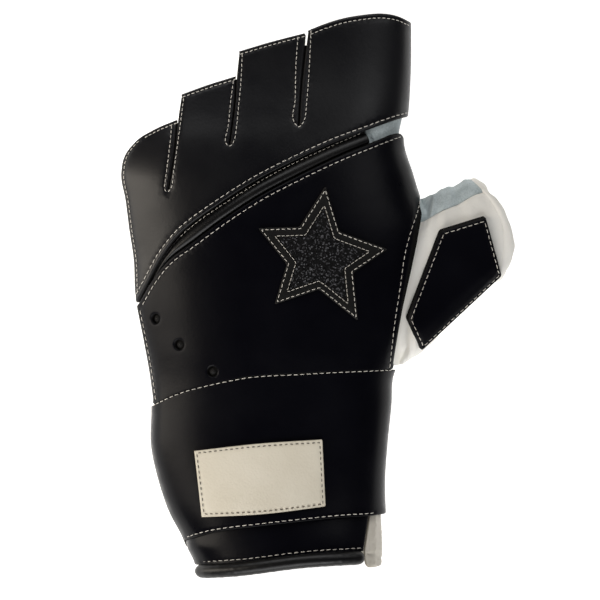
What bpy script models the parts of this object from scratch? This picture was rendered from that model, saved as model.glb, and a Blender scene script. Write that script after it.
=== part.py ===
"""A left-hand shooting glove, lying palm down with its back up.

Metres, +Z out of the back of the hand, +Y to the fingertips, +X to the thumb. The
origin is under the middle of the glove, on the surface that it lies on.

Stiff leather plates are sewn over a soft base. The back of the glove is one arched form,
and each piece of it is cut flat as seen from above, then laid on that form at its own
depth under the outer face. Across is measured from the middle to the thumb side and
along from the middle to the fingertips. In the tables both are shares of half the
glove's width and half its length, and heights are shares of the hand's height.
"""
import math

import bmesh
import bpy
import numpy as np

# Driving sizes
GLOVE_LENGTH = 0.2370
GLOVE_WIDTH = 0.1646
HAND_HEIGHT = 0.0460
PLATE = 0.0020            # stiff leather of the plates
PALM = 0.0014             # soft leather of the palm and the thumb
BAND = 0.0012             # thin leather of the wristband
SUEDE = 0.0010
ROLL = 0.0014             # leather of the knuckle roll at its sewn edges
ROLL_RISE = 0.0018        # how far the padded roll swells up between the plates
STAR_LEATHER = 0.0008
STAR_INLAY = 0.0005
LABEL = 0.0010
STAR_RADIUS = 0.0273
VENT_DIAMETER = 0.0055
BINDING_DIAMETER = 0.0044
HEM_DIAMETER = 0.0036

# Clearances and laps
LAYER_GAP = 0.0004        # between a piece and the one sewn under it
WALL_GAP = 0.0009         # between the palm's walls and the plates that cover them
THUMB_GAP = 0.0006        # between the thumb and the edge of the palm round it
PATCH_GAP = 0.0008        # between the thumb and its patch
SEAM_GAP = 0.0003         # between two edges that meet
TURN_DOWN = 0.0080        # how far the plates turn down the glove's sides
LAP = 0.0035              # how far a lower piece reaches under a plate
CUFF_LAP = 0.0070         # how far the wristband reaches up under the cuff
WALL_TOP = 0.0050         # from the form's shoulder down to the top of the palm's walls
WALL_INSET = 0.0015       # from a plate's left edge in to the palm's wall
WALL_LEAN = 0.0030        # how far the palm's left wall leans in towards the floor
PALM_CORNER = 0.0070      # radius where the palm's walls meet its flat bottom
PALM_WALL = 0.0120        # length of a palm wall in its flat pattern
PALM_BACK = 0.0019        # from the plates' fingertips back to the palm's
SLIT = 0.0007
FINGER_WALL_SPREAD = 0.0022
SIDE_GAP = 0.00045        # between thin pieces that lie side by side under a plate
COVER_EASE = 0.0060       # the thumb swells to its full height this far past the hand plate
THUMB_LIFT = 0.0004       # the thumb hangs this far clear of the surface

HALF_WIDTH = GLOVE_WIDTH / 2
HALF_LENGTH = GLOVE_LENGTH / 2

# How full the arch is: 1 is an ellipse, less is flatter on top.
FULLNESS = 0.8
ROLL_FULLNESS = 0.35      # the roll's rise where the gap is narrow, as a share of its width

# Mesh fineness
ARCH_COLUMNS = 24
ARCH_ROWS = 32
TURN_COLUMNS = 4          # columns past the glove's sides, for the edges that turn down
ROLL_COLUMNS = 20
THUMB_COLUMNS = 7
THUMB_SIDES = 26
SUEDE_COLUMNS = 6
SPACE_SIDES = 32
CORNER_CLEAR = 0.001      # an outline leaves out points that lie this near to a corner
SHORT_STEP = 0.0002       # distance over which a slope is measured
SHORT_TURN = 0.02         # turn round the thumb over which a slope is measured
CUTTER_REACH = 0.05       # half the height of a cutting prism

# The arched form. Columns: along, left side, right side, shoulder height, crown height.
FORM = (
    (1.020, -0.860, 0.478, 0.30, 0.66),
    (0.790, -0.910, 0.476, 0.32, 0.74),
    (0.640, -0.955, 0.462, 0.35, 0.83),
    (0.546, -1.010, 0.441, 0.37, 0.89),
    (0.433, -1.043, 0.487, 0.39, 0.94),
    (0.337, -1.021, 0.531, 0.39, 0.97),
    (0.234, -1.002, 0.590, 0.38, 0.99),
    (0.100, -0.972, 0.610, 0.37, 1.00),
    (-0.009, -0.960, 0.585, 0.37, 1.00),
    (-0.130, -0.925, 0.505, 0.38, 0.99),
    (-0.210, -0.893, 0.436, 0.40, 0.98),
    (-0.284, -0.868, 0.389, 0.42, 0.96),
    (-0.390, -0.843, 0.377, 0.43, 0.94),
    (-0.535, -0.842, 0.356, 0.43, 0.92),
    (-0.664, -0.797, 0.344, 0.43, 0.93),
    (-0.779, -0.735, 0.349, 0.43, 0.96),
    (-0.865, -0.679, 0.356, 0.44, 0.99),
    (-1.020, -0.640, 0.352, 0.45, 1.02),
)

# The left edge of the finger plate and the hand plate. Columns: along, across.
PLATE_LEFT = (
    (0.567, -0.895),
    (0.505, -0.974),
    (0.433, -1.000),
    (0.337, -0.978),
    (0.234, -0.959),
    (0.131, -0.937),
    (-0.009, -0.927),
    (-0.139, -0.892),
    (-0.244, -0.864),
    (-0.395, -0.832),
)

# The right edge of the hand plate, over the root of the thumb. Columns: along, across.
PLATE_RIGHT = (
    (0.346, 0.528),
    (0.210, 0.488),
    (0.091, 0.460),
    (-0.018, 0.434),
    (-0.118, 0.413),
    (-0.208, 0.395),
    (-0.275, 0.383),
)

# The middle of the gap over the knuckles. Columns: across, along, half the gap's width.
KNUCKLES = (
    (-0.922, -0.028, 0.003),
    (-0.857, 0.053, 0.005),
    (-0.776, 0.135, 0.014),
    (-0.663, 0.209, 0.027),
    (-0.500, 0.292, 0.027),
    (-0.321, 0.372, 0.027),
    (-0.153, 0.434, 0.027),
    (0.061, 0.505, 0.026),
    (0.240, 0.555, 0.024),
    (0.440, 0.606, 0.022),
    (0.600, 0.630, 0.020),
)

# Where the roll meets the index suede, across.
ROLL_END = 0.240

# Along the hand plate's right side: it starts to turn down at the first place and is
# turned down in full at the second.
SIDE_FOLD = (0.346, 0.406)

# Along the palm's left wall: the first place is under the hand plate, the second under the cuff.
CUFF_FOLD = (-0.375, -0.430)

# Fingertip edges from the little finger to the index. Columns: across, along.
TIPS = (
    (-0.895, 0.567),
    (-0.813, 0.596),
    (-0.723, 0.621),
    (-0.716, 0.630),
    (-0.701, 0.711),
    (-0.420, 0.776),
    (-0.415, 0.778),
    (-0.405, 0.864),
    (-0.068, 0.929),
    (-0.051, 0.938),
    (0.031, 0.961),
    (0.128, 0.982),
    (0.235, 0.995),
    (0.327, 1.000),
    (0.408, 0.992),
    (0.478, 0.972),
)
TIP_CORNER = 0.0030       # height of the index tip's corner at the glove's side

# Slits between the fingers, from the longer finger's end to the crotch.
# Columns: across, along, half the width as a share of half the slit.
SLITS = (
    ((-0.699, 0.720, 1.0), (-0.719, 0.624, 1.0), (-0.735, 0.500, 1.0), (-0.765, 0.372, 1.0)),
    ((-0.404, 0.872, 1.0), (-0.418, 0.777, 1.0), (-0.426, 0.674, 1.0), (-0.452, 0.532, 1.0)),
    ((-0.058, 0.950, 5.0), (-0.064, 0.920, 4.0), (-0.084, 0.745, 1.0), (-0.097, 0.599, 1.0)),
)

# The seam between the hand plate and the cuff. Columns: across, along.
WRIST_SEAM = (
    (-0.900, -0.400),
    (-0.842, -0.398),
    (-0.740, -0.368),
    (-0.633, -0.345),
    (-0.429, -0.313),
    (-0.296, -0.300),
    (-0.092, -0.292),
    (0.061, -0.285),
    (0.378, -0.274),
    (0.480, -0.273),
)

# The cuff's lower edge. Columns: across, along.
CUFF_HEM = (
    (-0.780, -0.872),
    (-0.671, -0.868),
    (-0.530, -0.837),
    (-0.276, -0.818),
    (0.076, -0.791),
    (0.288, -0.782),
    (0.460, -0.770),
)

# The wristband's lower edge. Columns: across, along.
BAND_END = (
    (-0.740, -0.954),
    (-0.622, -0.958),
    (-0.471, -0.953),
    (-0.354, -0.945),
    (-0.120, -0.924),
    (0.050, -0.915),
    (0.227, -0.910),
)
PALM_END = -0.935
BAND_RIGHT = ((0.262, -0.760), (0.256, -0.790), (0.227, -0.908))
TAB_END = ((0.236, -0.930), (0.244, -0.950), (0.268, -0.960), (0.322, -0.950), (0.345, -0.932))

# The label's corners and the middles of its bowed edges. Columns: across, along.
LABEL_OUTLINE = (
    (-0.628, -0.552),
    (-0.306, -0.526),
    (0.020, -0.511),
    (0.036, -0.748),
    (-0.273, -0.775),
    (-0.588, -0.787),
)

# The star. Columns: tip angle, tip radius, next hollow's angle and its radius, as shares
# of the star's radius, clockwise from the top.
STAR_CENTRE = (0.013, 0.132)
STAR = (
    (86.3, 1.04, 55.1, 0.465),
    (7.3, 0.97, -24.3, 0.517),
    (-59.6, 1.06, -93.3, 0.460),
    (-134.5, 0.95, -169.3, 0.498),
    (-205.3, 1.00, -235.5, 0.541),
)
STAR_EDGE = 1.06          # the star's cut edge, just outside its stitches
STAR_WINDOW = 0.74        # its window

# Vent holes. Columns: across, along.
VENTS = ((-0.830, -0.084), (-0.709, -0.176), (-0.539, -0.271))

# The thumb, from its root to its opening. Columns: share of its length, across and along
# of its upper side, across and along of its lower side, height.
THUMB = (
    (0.00, 0.468, 0.330, 0.346, -0.247, 0.717),
    (0.18, 0.547, 0.345, 0.437, -0.233, 0.690),
    (0.40, 0.626, 0.375, 0.553, -0.178, 0.655),
    (0.65, 0.699, 0.390, 0.705, -0.080, 0.620),
    (0.85, 0.753, 0.405, 0.832, 0.002, 0.595),
    (1.00, 0.780, 0.405, 0.897, 0.044, 0.580),
    (1.15, 0.815, 0.410, 0.975, 0.090, 0.580),
)
THUMB_BULGE = 0.0086      # how far the middle of the thumb's opening reaches past its sides
THUMB_MIDDLE = 0.45       # height of the thumb's widest level, as a share of its own height
THUMB_SEAM = 0.72         # place of the suede's seam across the thumb, from the middle out
THUMB_SQUARE = 8.0        # how square its lower side is, under the stiff patch
THUMB_ROUND = 3.0         # and how round its upper side is
THUMB_SUEDE_ANGLE = 199.0  # how far down the upper side the suede goes, in degrees
THUMB_TOP = 0.40          # how round the thumb's top is
THUMB_UNDER = 0.25        # and its underside
THUMB_SEAM_TURN = 0.02    # half the gap at the suede's seams, in radians
PATCH_FLAT = 0.80         # the patch runs on straight past this place across the thumb

# The thumb patch's corners. Columns: across, along.
THUMB_PATCH = (
    (0.858, 0.282),
    (0.621, 0.231),
    (0.448, -0.083),
    (0.526, -0.202),
    (0.943, 0.068),
)


def smooth_through(rows, count):
    """Points on a smooth curve through the rows, the same number between each two."""
    points = np.array(rows, dtype=float)
    ends = np.vstack([2 * points[0] - points[1], points, 2 * points[-1] - points[-2]])
    steps = np.linspace(0, len(points) - 1, (len(points) - 1) * count + 1)
    start = np.minimum(steps.astype(int), len(points) - 2)
    t = (steps - start)[:, None]
    a, b, c, d = ends[start], ends[start + 1], ends[start + 2], ends[start + 3]
    return b + 0.5 * t * (c - a + t * (2 * a - 5 * b + 4 * c - d + t * (3 * (b - c) + d - a)))


def read_table(rows, column, at):
    """A table's column at places along its first column, on a smooth curve."""
    table = np.array(sorted(rows), dtype=float)
    place, value = table[:, 0], table[:, column]
    slope = np.gradient(value, place)
    at = np.clip(at, place[0], place[-1])
    low = np.clip(np.searchsorted(place, at) - 1, 0, len(place) - 2)
    width = place[low + 1] - place[low]
    t = (at - place[low]) / width
    bend = t * t * (3 - 2 * t)
    return (
        value[low] * (1 - bend)
        + value[low + 1] * bend
        + width * slope[low] * t * (1 - t) ** 2
        - width * slope[low + 1] * t * t * (1 - t)
    )


def form_section(along):
    """The arch across the glove at a length: left, right, shoulder and crown."""
    share = np.asarray(along) / HALF_LENGTH
    left = read_table(FORM, 1, share) * HALF_WIDTH
    right = read_table(FORM, 2, share) * HALF_WIDTH
    shoulder = read_table(FORM, 3, share) * HAND_HEIGHT
    crown = read_table(FORM, 4, share) * HAND_HEIGHT
    return left, right, shoulder, crown


def plate_left(along):
    """Across of the plates' left edge."""
    return read_table(PLATE_LEFT, 1, np.asarray(along) / HALF_LENGTH) * HALF_WIDTH


def plate_right(along):
    """Across of the hand plate's edge over the thumb's root."""
    return read_table(PLATE_RIGHT, 1, np.asarray(along) / HALF_LENGTH) * HALF_WIDTH


def wrap(across, along, depth):
    """Lay a place on the form: past the glove's sides, across runs on down the wall."""
    left, right, shoulder, crown = form_section(along)
    middle, half, rise = (left + right) / 2, (right - left) / 2, crown - shoulder
    sine = np.clip((across - middle) / half, -1, 1)
    cosine = np.sqrt(1 - sine**2)
    down = np.maximum(across - right, 0) + np.maximum(left - across, 0)
    out_x = rise * FULLNESS * sine
    out_z = half * cosine ** (2 - FULLNESS)
    size = np.hypot(out_x, out_z)
    x = middle + half * sine - depth * out_x / size
    z = shoulder + rise * cosine**FULLNESS - down - depth * out_z / size
    return x, along, z


def form_height(across, along, depth):
    """The height above a place of a face that lies a depth under the form."""
    _, _, z = wrap(across, along, 0.0)
    _, _, z_lower = wrap(across, along, 1.0)
    return z - depth / np.maximum(z - z_lower, 0.25)


def knuckle_edge(side, lap=0.0):
    """The edge on one side of the knuckle gap: +1 to the fingers, -1 to the hand."""
    line = smooth_through(KNUCKLES, 3)
    x, y, half_gap = line[:, 0] * HALF_WIDTH, line[:, 1] * HALF_LENGTH, line[:, 2] * HALF_LENGTH
    run = np.hypot(np.gradient(x), np.gradient(y))
    reach = side * (half_gap + lap)
    return np.stack([x - np.gradient(y) / run * reach, y + np.gradient(x) / run * reach], axis=1)


def to_plan(rows, count=1):
    """A table's across and along in metres, smoothed with count points a step."""
    points = smooth_through(rows, count) if count > 1 else np.array(rows, dtype=float)
    return points[:, :2] * (HALF_WIDTH, HALF_LENGTH)


def edge_run(start, end, count, across):
    """Points from one length to another, at an across worked out for each."""
    along = np.linspace(start, end, count)
    return np.stack([across(along), along], axis=1)


def keep_between(line, low, high):
    """The points of a line that lie well between two places across."""
    return line[(line[:, 0] > low + CORNER_CLEAR) & (line[:, 0] < high - CORNER_CLEAR)]


def right_turned(along):
    """The lower edge of a plate that turns down the right side."""
    return form_section(along)[1] + TURN_DOWN


def left_turned(along):
    """The lower edge of a plate that turns down the left side."""
    return form_section(along)[0] - TURN_DOWN


def left_hidden(along):
    """The end of a thin piece that stops above the palm's left wall."""
    return form_section(along)[0] - WALL_TOP + WALL_GAP


def right_hidden(along):
    """The end of a thin piece that stops above the palm's right wall."""
    return form_section(along)[1] + WALL_TOP - WALL_GAP


def new_material(name, colour, roughness):
    """A plain finish: colour as shares of red, green and blue."""
    material = bpy.data.materials.new(name)
    material.use_nodes = True
    shader = material.node_tree.nodes["Principled BSDF"]
    shader.inputs["Base Color"].default_value = (*colour, 1.0)
    shader.inputs["Roughness"].default_value = roughness
    shader.inputs["Metallic"].default_value = 0.0
    material.diffuse_color = (*colour, 1.0)
    return material


def new_object(name, mesh, collection):
    """A named object with a mesh, in a collection."""
    thing = bpy.data.objects.new(name, mesh)
    collection.objects.link(thing)
    return thing


def make_slab(columns, rows):
    """A slab over the unit square, one high, with its top and bottom cut in quads."""
    work = bmesh.new()
    bmesh.ops.create_grid(work, x_segments=columns, y_segments=rows, size=0.5)
    raised = bmesh.ops.extrude_face_region(work, geom=work.faces[:])
    top = [item for item in raised["geom"] if isinstance(item, bmesh.types.BMVert)]
    bmesh.ops.translate(work, vec=(0, 0, 1), verts=top)
    bmesh.ops.translate(work, vec=(0.5, 0.5, 0), verts=work.verts)
    bmesh.ops.recalc_face_normals(work, faces=work.faces)
    mesh = bpy.data.meshes.new("slab")
    work.to_mesh(mesh)
    work.free()
    return mesh


def move_corners(mesh, place):
    """Put each corner of a mesh where place says, from its first, second and third value."""
    corners = np.empty(len(mesh.vertices) * 3)
    mesh.vertices.foreach_get("co", corners)
    first, second, third = corners.reshape(-1, 3).T
    x, y, z = place(first, second, third)
    mesh.vertices.foreach_set("co", np.stack([x, y, z], axis=1).ravel())
    mesh.update()


def make_prism(outline):
    """A flat outline as a prism that reaches past any slab, in the cutters' collection."""
    curve = bpy.data.curves.new("outline", "CURVE")
    curve.dimensions = "2D"
    curve.fill_mode = "BOTH"
    curve.extrude = CUTTER_REACH
    spline = curve.splines.new("POLY")
    spline.points.add(len(outline) - 1)
    spline.points.foreach_set("co", np.column_stack(
        [outline, np.zeros(len(outline)), np.ones(len(outline))]).ravel())
    spline.use_cyclic_u = True
    drawn = new_object("outline", curve, CUTTERS)
    mesh = solid_mesh(drawn)
    bpy.data.objects.remove(drawn)
    prism = new_object("prism", mesh, CUTTERS)
    prism.hide_render = True
    prism.display_type = "WIRE"
    return prism


def solid_mesh(thing):
    """An object as it is after its modifiers or its bevel, with its doubles merged."""
    bpy.context.view_layer.update()
    evaluated = thing.evaluated_get(bpy.context.evaluated_depsgraph_get())
    mesh = bpy.data.meshes.new_from_object(evaluated)
    work = bmesh.new()
    work.from_mesh(mesh)
    bmesh.ops.remove_doubles(work, verts=work.verts, dist=0.000002)
    bmesh.ops.recalc_face_normals(work, faces=work.faces)
    work.to_mesh(mesh)
    work.free()
    return mesh


def cut_flat(mesh, outline, holes):
    """Cut a flat slab to an outline and take holes out of it, then cut it in triangles."""
    flat = new_object("flat", mesh, CUTTERS)
    cutters = [make_prism(shape) for shape in (outline, *holes)]
    for number, cutter in enumerate(cutters):
        cut = flat.modifiers.new("cut", "BOOLEAN")
        cut.operation = "DIFFERENCE" if number else "INTERSECT"
        cut.object = cutter
    result = solid_mesh(flat)
    for thing in [flat] + cutters:
        bpy.data.objects.remove(thing)
    work = bmesh.new()
    work.from_mesh(result)
    bmesh.ops.triangulate(work, faces=work.faces)
    work.to_mesh(result)
    work.free()
    return result


def turn_outwards(mesh):
    """Point a mesh's faces outwards."""
    work = bmesh.new()
    work.from_mesh(mesh)
    bmesh.ops.recalc_face_normals(work, faces=work.faces)
    work.to_mesh(mesh)
    work.free()


def finish_piece(name, mesh, material):
    """A finished piece of the glove."""
    turn_outwards(mesh)
    piece = new_object(name, mesh, GLOVE)
    mesh.name = name
    mesh.materials.clear()
    mesh.materials.append(material)
    mesh.shade_smooth()
    mesh.set_sharp_from_angle(angle=math.radians(35))
    return piece


def arch_panel(name, material, outline, outer, thickness, holes=()):
    """A piece of the glove's back, cut to an outline seen from above and laid on the form."""
    edge = 1 + TURN_COLUMNS / ARCH_COLUMNS

    def lay_out(first, second, third):
        along = (2 * second - 1) * HALF_LENGTH * FORM[0][0]
        left, right, _, _ = form_section(along)
        turn = (2 * first - 1) * edge
        # The side columns reach past the turned-down edge, which the outline then cuts.
        reach = TURN_DOWN + LAP
        past = np.sign(turn) * np.maximum(np.abs(turn) - 1, 0) / (edge - 1) * reach
        across = (left + right) / 2 + (right - left) / 2 * np.sin(np.clip(turn, -1, 1) * np.pi / 2)
        return across + past, along, -(outer + thickness * (1 - third))

    slab = make_slab(ARCH_COLUMNS + TURN_COLUMNS, ARCH_ROWS)
    move_corners(slab, lay_out)
    mesh = cut_flat(slab, outline, holes)
    move_corners(mesh, lambda across, along, height: wrap(across, along, -height))
    return finish_piece(name, mesh, material)


def slit_outline(rows):
    """A narrow cut along a slit's line."""
    line = smooth_through(rows, 3)
    x, y = line[:, 0] * HALF_WIDTH, line[:, 1] * HALF_LENGTH
    run = np.hypot(np.gradient(x), np.gradient(y))
    side = line[:, 2] * SLIT / 2
    offset = np.stack([-np.gradient(y) / run * side, np.gradient(x) / run * side], axis=1)
    centre = np.stack([x, y], axis=1)
    return np.vstack([centre + offset, (centre - offset)[::-1]])


def star_outline(scale):
    """The star's corners, drawn in to a share of its size."""
    corners = []
    for tip_angle, tip, hollow_angle, hollow in STAR:
        for angle, radius in ((tip_angle, tip), (hollow_angle, hollow)):
            turn, reach = math.radians(angle), radius * scale * STAR_RADIUS
            corners.append((reach * math.cos(turn), reach * math.sin(turn)))
    centre = np.array(STAR_CENTRE) * (HALF_WIDTH, HALF_LENGTH)
    corners = np.array(corners) + centre
    following = np.roll(corners, -1, axis=0)
    return np.vstack([np.linspace(a, b, 4)[:-1] for a, b in zip(corners, following)])


def vent_outline(across, along):
    """A round hole in the leather, narrower from above where the form slopes."""
    x, y = across * HALF_WIDTH, along * HALF_LENGTH
    left = np.array(wrap(x - SHORT_STEP, y, 0.0))
    right = np.array(wrap(x + SHORT_STEP, y, 0.0))
    narrow = (right - left)[0] / np.linalg.norm(right - left)
    turn = np.radians(np.arange(0, 360, 36))
    radius = VENT_DIAMETER / 2
    return np.stack([x + narrow * radius * np.cos(turn), y + radius * np.sin(turn)], axis=1)


def build_finger_plate():
    """The stiff plate over the four fingers, slit between them, turned down at the index."""
    lower = knuckle_edge(1)[::-1]
    tips = to_plan(TIPS)
    corner = np.array([[plate_left(lower[-1, 1]), lower[-1, 1]]])
    left = edge_run(lower[-2, 1], tips[0, 1], 9, plate_left)[1:-1]
    right = edge_run(tips[-1, 1] - TIP_CORNER, lower[0, 1], 6, right_turned)
    inside = lower[lower[:, 0] < right_turned(lower[:, 1]) - CORNER_CLEAR]
    outline = np.vstack([corner, left, tips, right, inside[:-1]])
    slits = [slit_outline(rows) for rows in SLITS]
    arch_panel("finger_plate", BLACK_LEATHER, outline, 0.0, PLATE, slits)


def build_hand_plate():
    """The stiff plate over the back of the hand, with three vent holes."""
    fold = np.array(SIDE_FOLD) * HALF_LENGTH

    def right_fold(along):
        return form_section(along)[1] + np.interp(along, fold, (0.0, TURN_DOWN))

    upper = knuckle_edge(-1)
    upper = upper[upper[:, 0] < right_fold(upper[:, 1]) - CORNER_CLEAR]
    right_side = edge_run(upper[-1, 1] - CORNER_CLEAR, fold[0] + CORNER_CLEAR, 8, right_fold)
    seam = to_plan(WRIST_SEAM, 2)[::-1]
    right = edge_run(fold[0], seam[0, 1] + 2 * SEAM_GAP, 9, plate_right)
    left_end = seam[-3, 1] + 2 * SEAM_GAP
    near = 2 * CORNER_CLEAR
    seam = seam[(seam[:, 0] < right[-1, 0] - near) & (seam[:, 0] > plate_left(seam[:, 1]) + near)]
    left = edge_run(left_end, upper[0, 1], 7, plate_left)
    outline = np.vstack([upper[1:], right_side, right, seam, left])
    vents = [vent_outline(*place) for place in VENTS]
    arch_panel("hand_plate", BLACK_LEATHER, outline, 0.0, PLATE, vents)


def build_cuff_plate():
    """The stiff plate over the wrist, turned down at both sides."""
    seam = to_plan(WRIST_SEAM, 2) - (0, SEAM_GAP)
    hem = to_plan(CUFF_HEM, 2)[::-1]
    left = edge_run(hem[-1, 1], seam[0, 1], 7, left_turned)
    right = edge_run(seam[-1, 1], hem[0, 1], 7, right_turned)
    seam = keep_between(seam, left[-1, 0], right[0, 0])
    hem = keep_between(hem, left[0, 0], right[-1, 0])
    arch_panel("cuff_plate", BLACK_LEATHER, np.vstack([seam, right, hem, left]), 0.0, PLATE)


def build_star():
    """A leather star with a star-shaped window, and the gritty inlay that shows in it."""
    border = -LAYER_GAP - STAR_LEATHER
    window = star_outline(STAR_WINDOW)
    arch_panel(
        "star_border", BLACK_LEATHER, star_outline(STAR_EDGE), border, STAR_LEATHER, [window])
    # A straight side lies about half as far from the centre as a hollow's corner.
    side_reach = STAR[0][3] * STAR_WINDOW * STAR_RADIUS / 2
    inner = star_outline(STAR_WINDOW * (1 - SEAM_GAP / side_reach))
    arch_panel("star_inlay", GRIT, inner, -LAYER_GAP - STAR_INLAY, STAR_INLAY)


def build_label():
    """The plain leather label on the cuff."""
    rows = LABEL_OUTLINE
    top, bottom = to_plan(rows[:3], 3), to_plan(rows[3:], 3)
    arch_panel("label_patch", LABEL_LEATHER, np.vstack([top, bottom]), -LAYER_GAP - LABEL, LABEL)


def build_wristband():
    """The thin band under the cuff, its rolled binding and the pale tab beside it."""
    outer = PLATE + LAYER_GAP
    hem = to_plan(CUFF_HEM, 2) + (0, CUFF_LAP)
    end = to_plan(BAND_END, 2)[::-1]
    side = to_plan(BAND_RIGHT)
    left = edge_run(end[-1, 1], hem[0, 1], 5, left_hidden)
    upper = keep_between(hem, left[-1, 0], side[0, 0])
    end = keep_between(end, left[0, 0], side[-1, 0])
    arch_panel("wristband", BLACK_LEATHER, np.vstack([upper, side, end, left]), outer, BAND)

    seam = side + (SIDE_GAP, 0)
    tab_end = to_plan(TAB_END, 2)[::-1]
    right = edge_run(hem[-1, 1], tab_end[0, 1] + CORNER_CLEAR, 5, right_hidden)
    upper = keep_between(hem, seam[0, 0], right[0, 0])
    outline = np.vstack([upper, right, tab_end, seam[::-1]])
    arch_panel("wrist_tab", WHITE_LEATHER, outline, outer, BAND)

    edge = to_plan(BAND_END, 3)
    edge = edge[edge[:, 0] < side[-1, 0] - BINDING_DIAMETER / 2]
    drop = BINDING_DIAMETER / 2 + SEAM_GAP
    x, y, z = wrap(edge[:, 0], edge[:, 1] - drop, outer + BAND / 2)
    make_tube("wrist_binding", BLACK_LEATHER, np.stack([x, y, z], axis=1), BINDING_DIAMETER, False)


def make_tube(name, material, path, diameter, closed):
    """A round roll along a path."""
    curve = bpy.data.curves.new(name, "CURVE")
    curve.dimensions = "3D"
    curve.bevel_depth = diameter / 2
    curve.bevel_resolution = 2
    curve.use_fill_caps = not closed
    spline = curve.splines.new("POLY")
    spline.points.add(len(path) - 1)
    spline.points.foreach_set("co", np.column_stack([path, np.ones(len(path))]).ravel())
    spline.use_cyclic_u = closed
    drawn = new_object(name, curve, CUTTERS)
    mesh = solid_mesh(drawn)
    bpy.data.objects.remove(drawn)
    return finish_piece(name, mesh, material)


def build_knuckle_roll():
    """The padded strip that swells up between the finger plate and the hand plate."""
    low, high = knuckle_edge(-1, LAP), knuckle_edge(1, LAP)
    gap_low, gap_high = knuckle_edge(-1), knuckle_edge(1)
    clear = plate_left(high[:, 1]) + WALL_INSET + LAP + SEAM_GAP
    start = int(np.argmax(high[:, 0] > clear))
    last = np.searchsorted(gap_high[:, 0], ROLL_END * HALF_WIDTH)
    steps = np.arange(start, last + 1)

    def place(first, second, third):
        at = start + first * (last - start)
        ends = [np.stack([np.interp(at, steps, line[start:last + 1, n]) for n in (0, 1)])
                for line in (low, gap_low, gap_high, high)]
        # Across the strip: a sewn flange, the swell, and the other flange.
        stop = (0.0, 0.25, 0.75, 1.0)
        x, y = (sum_between(second, stop, [end[n] for end in ends]) for n in (0, 1))
        width = np.hypot(*(ends[2] - ends[1]))
        swell = np.clip((second - stop[1]) / (stop[2] - stop[1]), 0, 1)
        rise = np.sin(swell * np.pi) * np.minimum(ROLL_RISE, width * ROLL_FULLNESS)
        outer = PLATE + LAYER_GAP - rise
        depth = np.where(third > 0.5, outer, PLATE + LAYER_GAP + ROLL)
        return wrap(x, y, depth)

    slab = make_slab(ROLL_COLUMNS, 8)
    move_corners(slab, place)
    finish_piece("knuckle_roll", slab, BLACK_LEATHER)


def sum_between(at, stops, values):
    """Straight steps between values, where each value is itself an array."""
    total = values[0] * 1.0
    for low, high, first, second in zip(stops, stops[1:], values, values[1:]):
        total = total + (second - first) * np.clip((at - low) / (high - low), 0, 1)
    return total


def build_index_gusset():
    """The suede that shows between the plates at the index finger, and turns down the side."""
    low, high = knuckle_edge(-1, LAP), knuckle_edge(1, LAP)
    first = np.searchsorted(knuckle_edge(1)[:, 0], ROLL_END * HALF_WIDTH)
    low, high = low[first:], high[first:]
    start = np.array([low[0], high[0]]) + (SIDE_GAP, 0)
    low, high = (
        line[1:][line[1:, 0] < right_hidden(line[1:, 1]) - CORNER_CLEAR] for line in (low, high))
    end = edge_run(low[-1, 1], high[-1, 1], 4, right_hidden)
    outline = np.vstack([start[:1], low, end, high[::-1], start[1:]])
    arch_panel("index_gusset", GREY_SUEDE, outline, PLATE + LAYER_GAP, SUEDE)


def cuff_share(along):
    """Nought under the hand plate and one under the cuff, eased between them."""
    start, stop = np.array(CUFF_FOLD) * HALF_LENGTH
    turned = np.clip((along - start) / (stop - start), 0, 1)
    return turned * turned * (3 - 2 * turned)


def palm_frame(along):
    """The palm's section: its walls' tops, their upper ends and its bottom corners."""
    left, right, shoulder, _ = form_section(along)
    under = PLATE + WALL_GAP
    edge = plate_left(along) + WALL_INSET
    turned = cuff_share(along)
    top_x, _, top_z = wrap(edge, along, under)
    end_x, _, end_z = wrap(edge + LAP, along, under)
    wall_x, wall_z = left + under, shoulder - WALL_TOP
    top = (top_x + (wall_x - top_x) * turned, top_z + (wall_z - top_z) * turned)
    end = (end_x + (wall_x - end_x) * turned, end_z + (shoulder - end_z) * turned)
    low_left = top[0] + WALL_LEAN
    low_right = right - under
    return top, end, low_left, low_right, wall_z, shoulder


def palm_curve(across, along):
    """The palm's outer face: flat on the floor between its corners, then up its walls."""
    top, end, low_left, low_right, wall_z, shoulder = palm_frame(along)
    corner = PALM_CORNER
    arc = corner * np.pi / 2
    left_flat, right_flat = low_left + corner, low_right - corner
    on_left = across < (left_flat + right_flat) / 2
    run = np.maximum(left_flat - across, across - right_flat)
    bend = np.clip(run / arc, 0, 1) * np.pi / 2
    wall = np.clip((run - arc) / PALM_WALL, 0, 1)
    lap = np.maximum((run - arc - PALM_WALL) / LAP, 0)
    side = np.where(on_left, -1, 1)
    flat_x = np.clip(across, left_flat, right_flat)
    x = flat_x + side * corner * np.sin(bend)
    z = corner * (1 - np.cos(bend))
    top_x = np.where(on_left, top[0], low_right)
    top_z = np.where(on_left, top[1], wall_z)
    end_x = np.where(on_left, end[0], low_right)
    end_z = np.where(on_left, end[1], shoulder)
    x = x + wall * (top_x - np.where(on_left, low_left, low_right)) + lap * (end_x - top_x)
    z = z + wall * (top_z - corner) + lap * (end_z - top_z)
    return x, z


def palm_place(across, along, height):
    """Lay a place of the palm's flat pattern on its section, height inwards."""
    x0, z0 = palm_curve(across - SHORT_STEP, along)
    x1, z1 = palm_curve(across + SHORT_STEP, along)
    x, z = palm_curve(across, along)
    run_x, run_z = x1 - x0, z1 - z0
    size = np.hypot(run_x, run_z)
    return x - run_z / size * height, along, z + run_x / size * height


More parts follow.
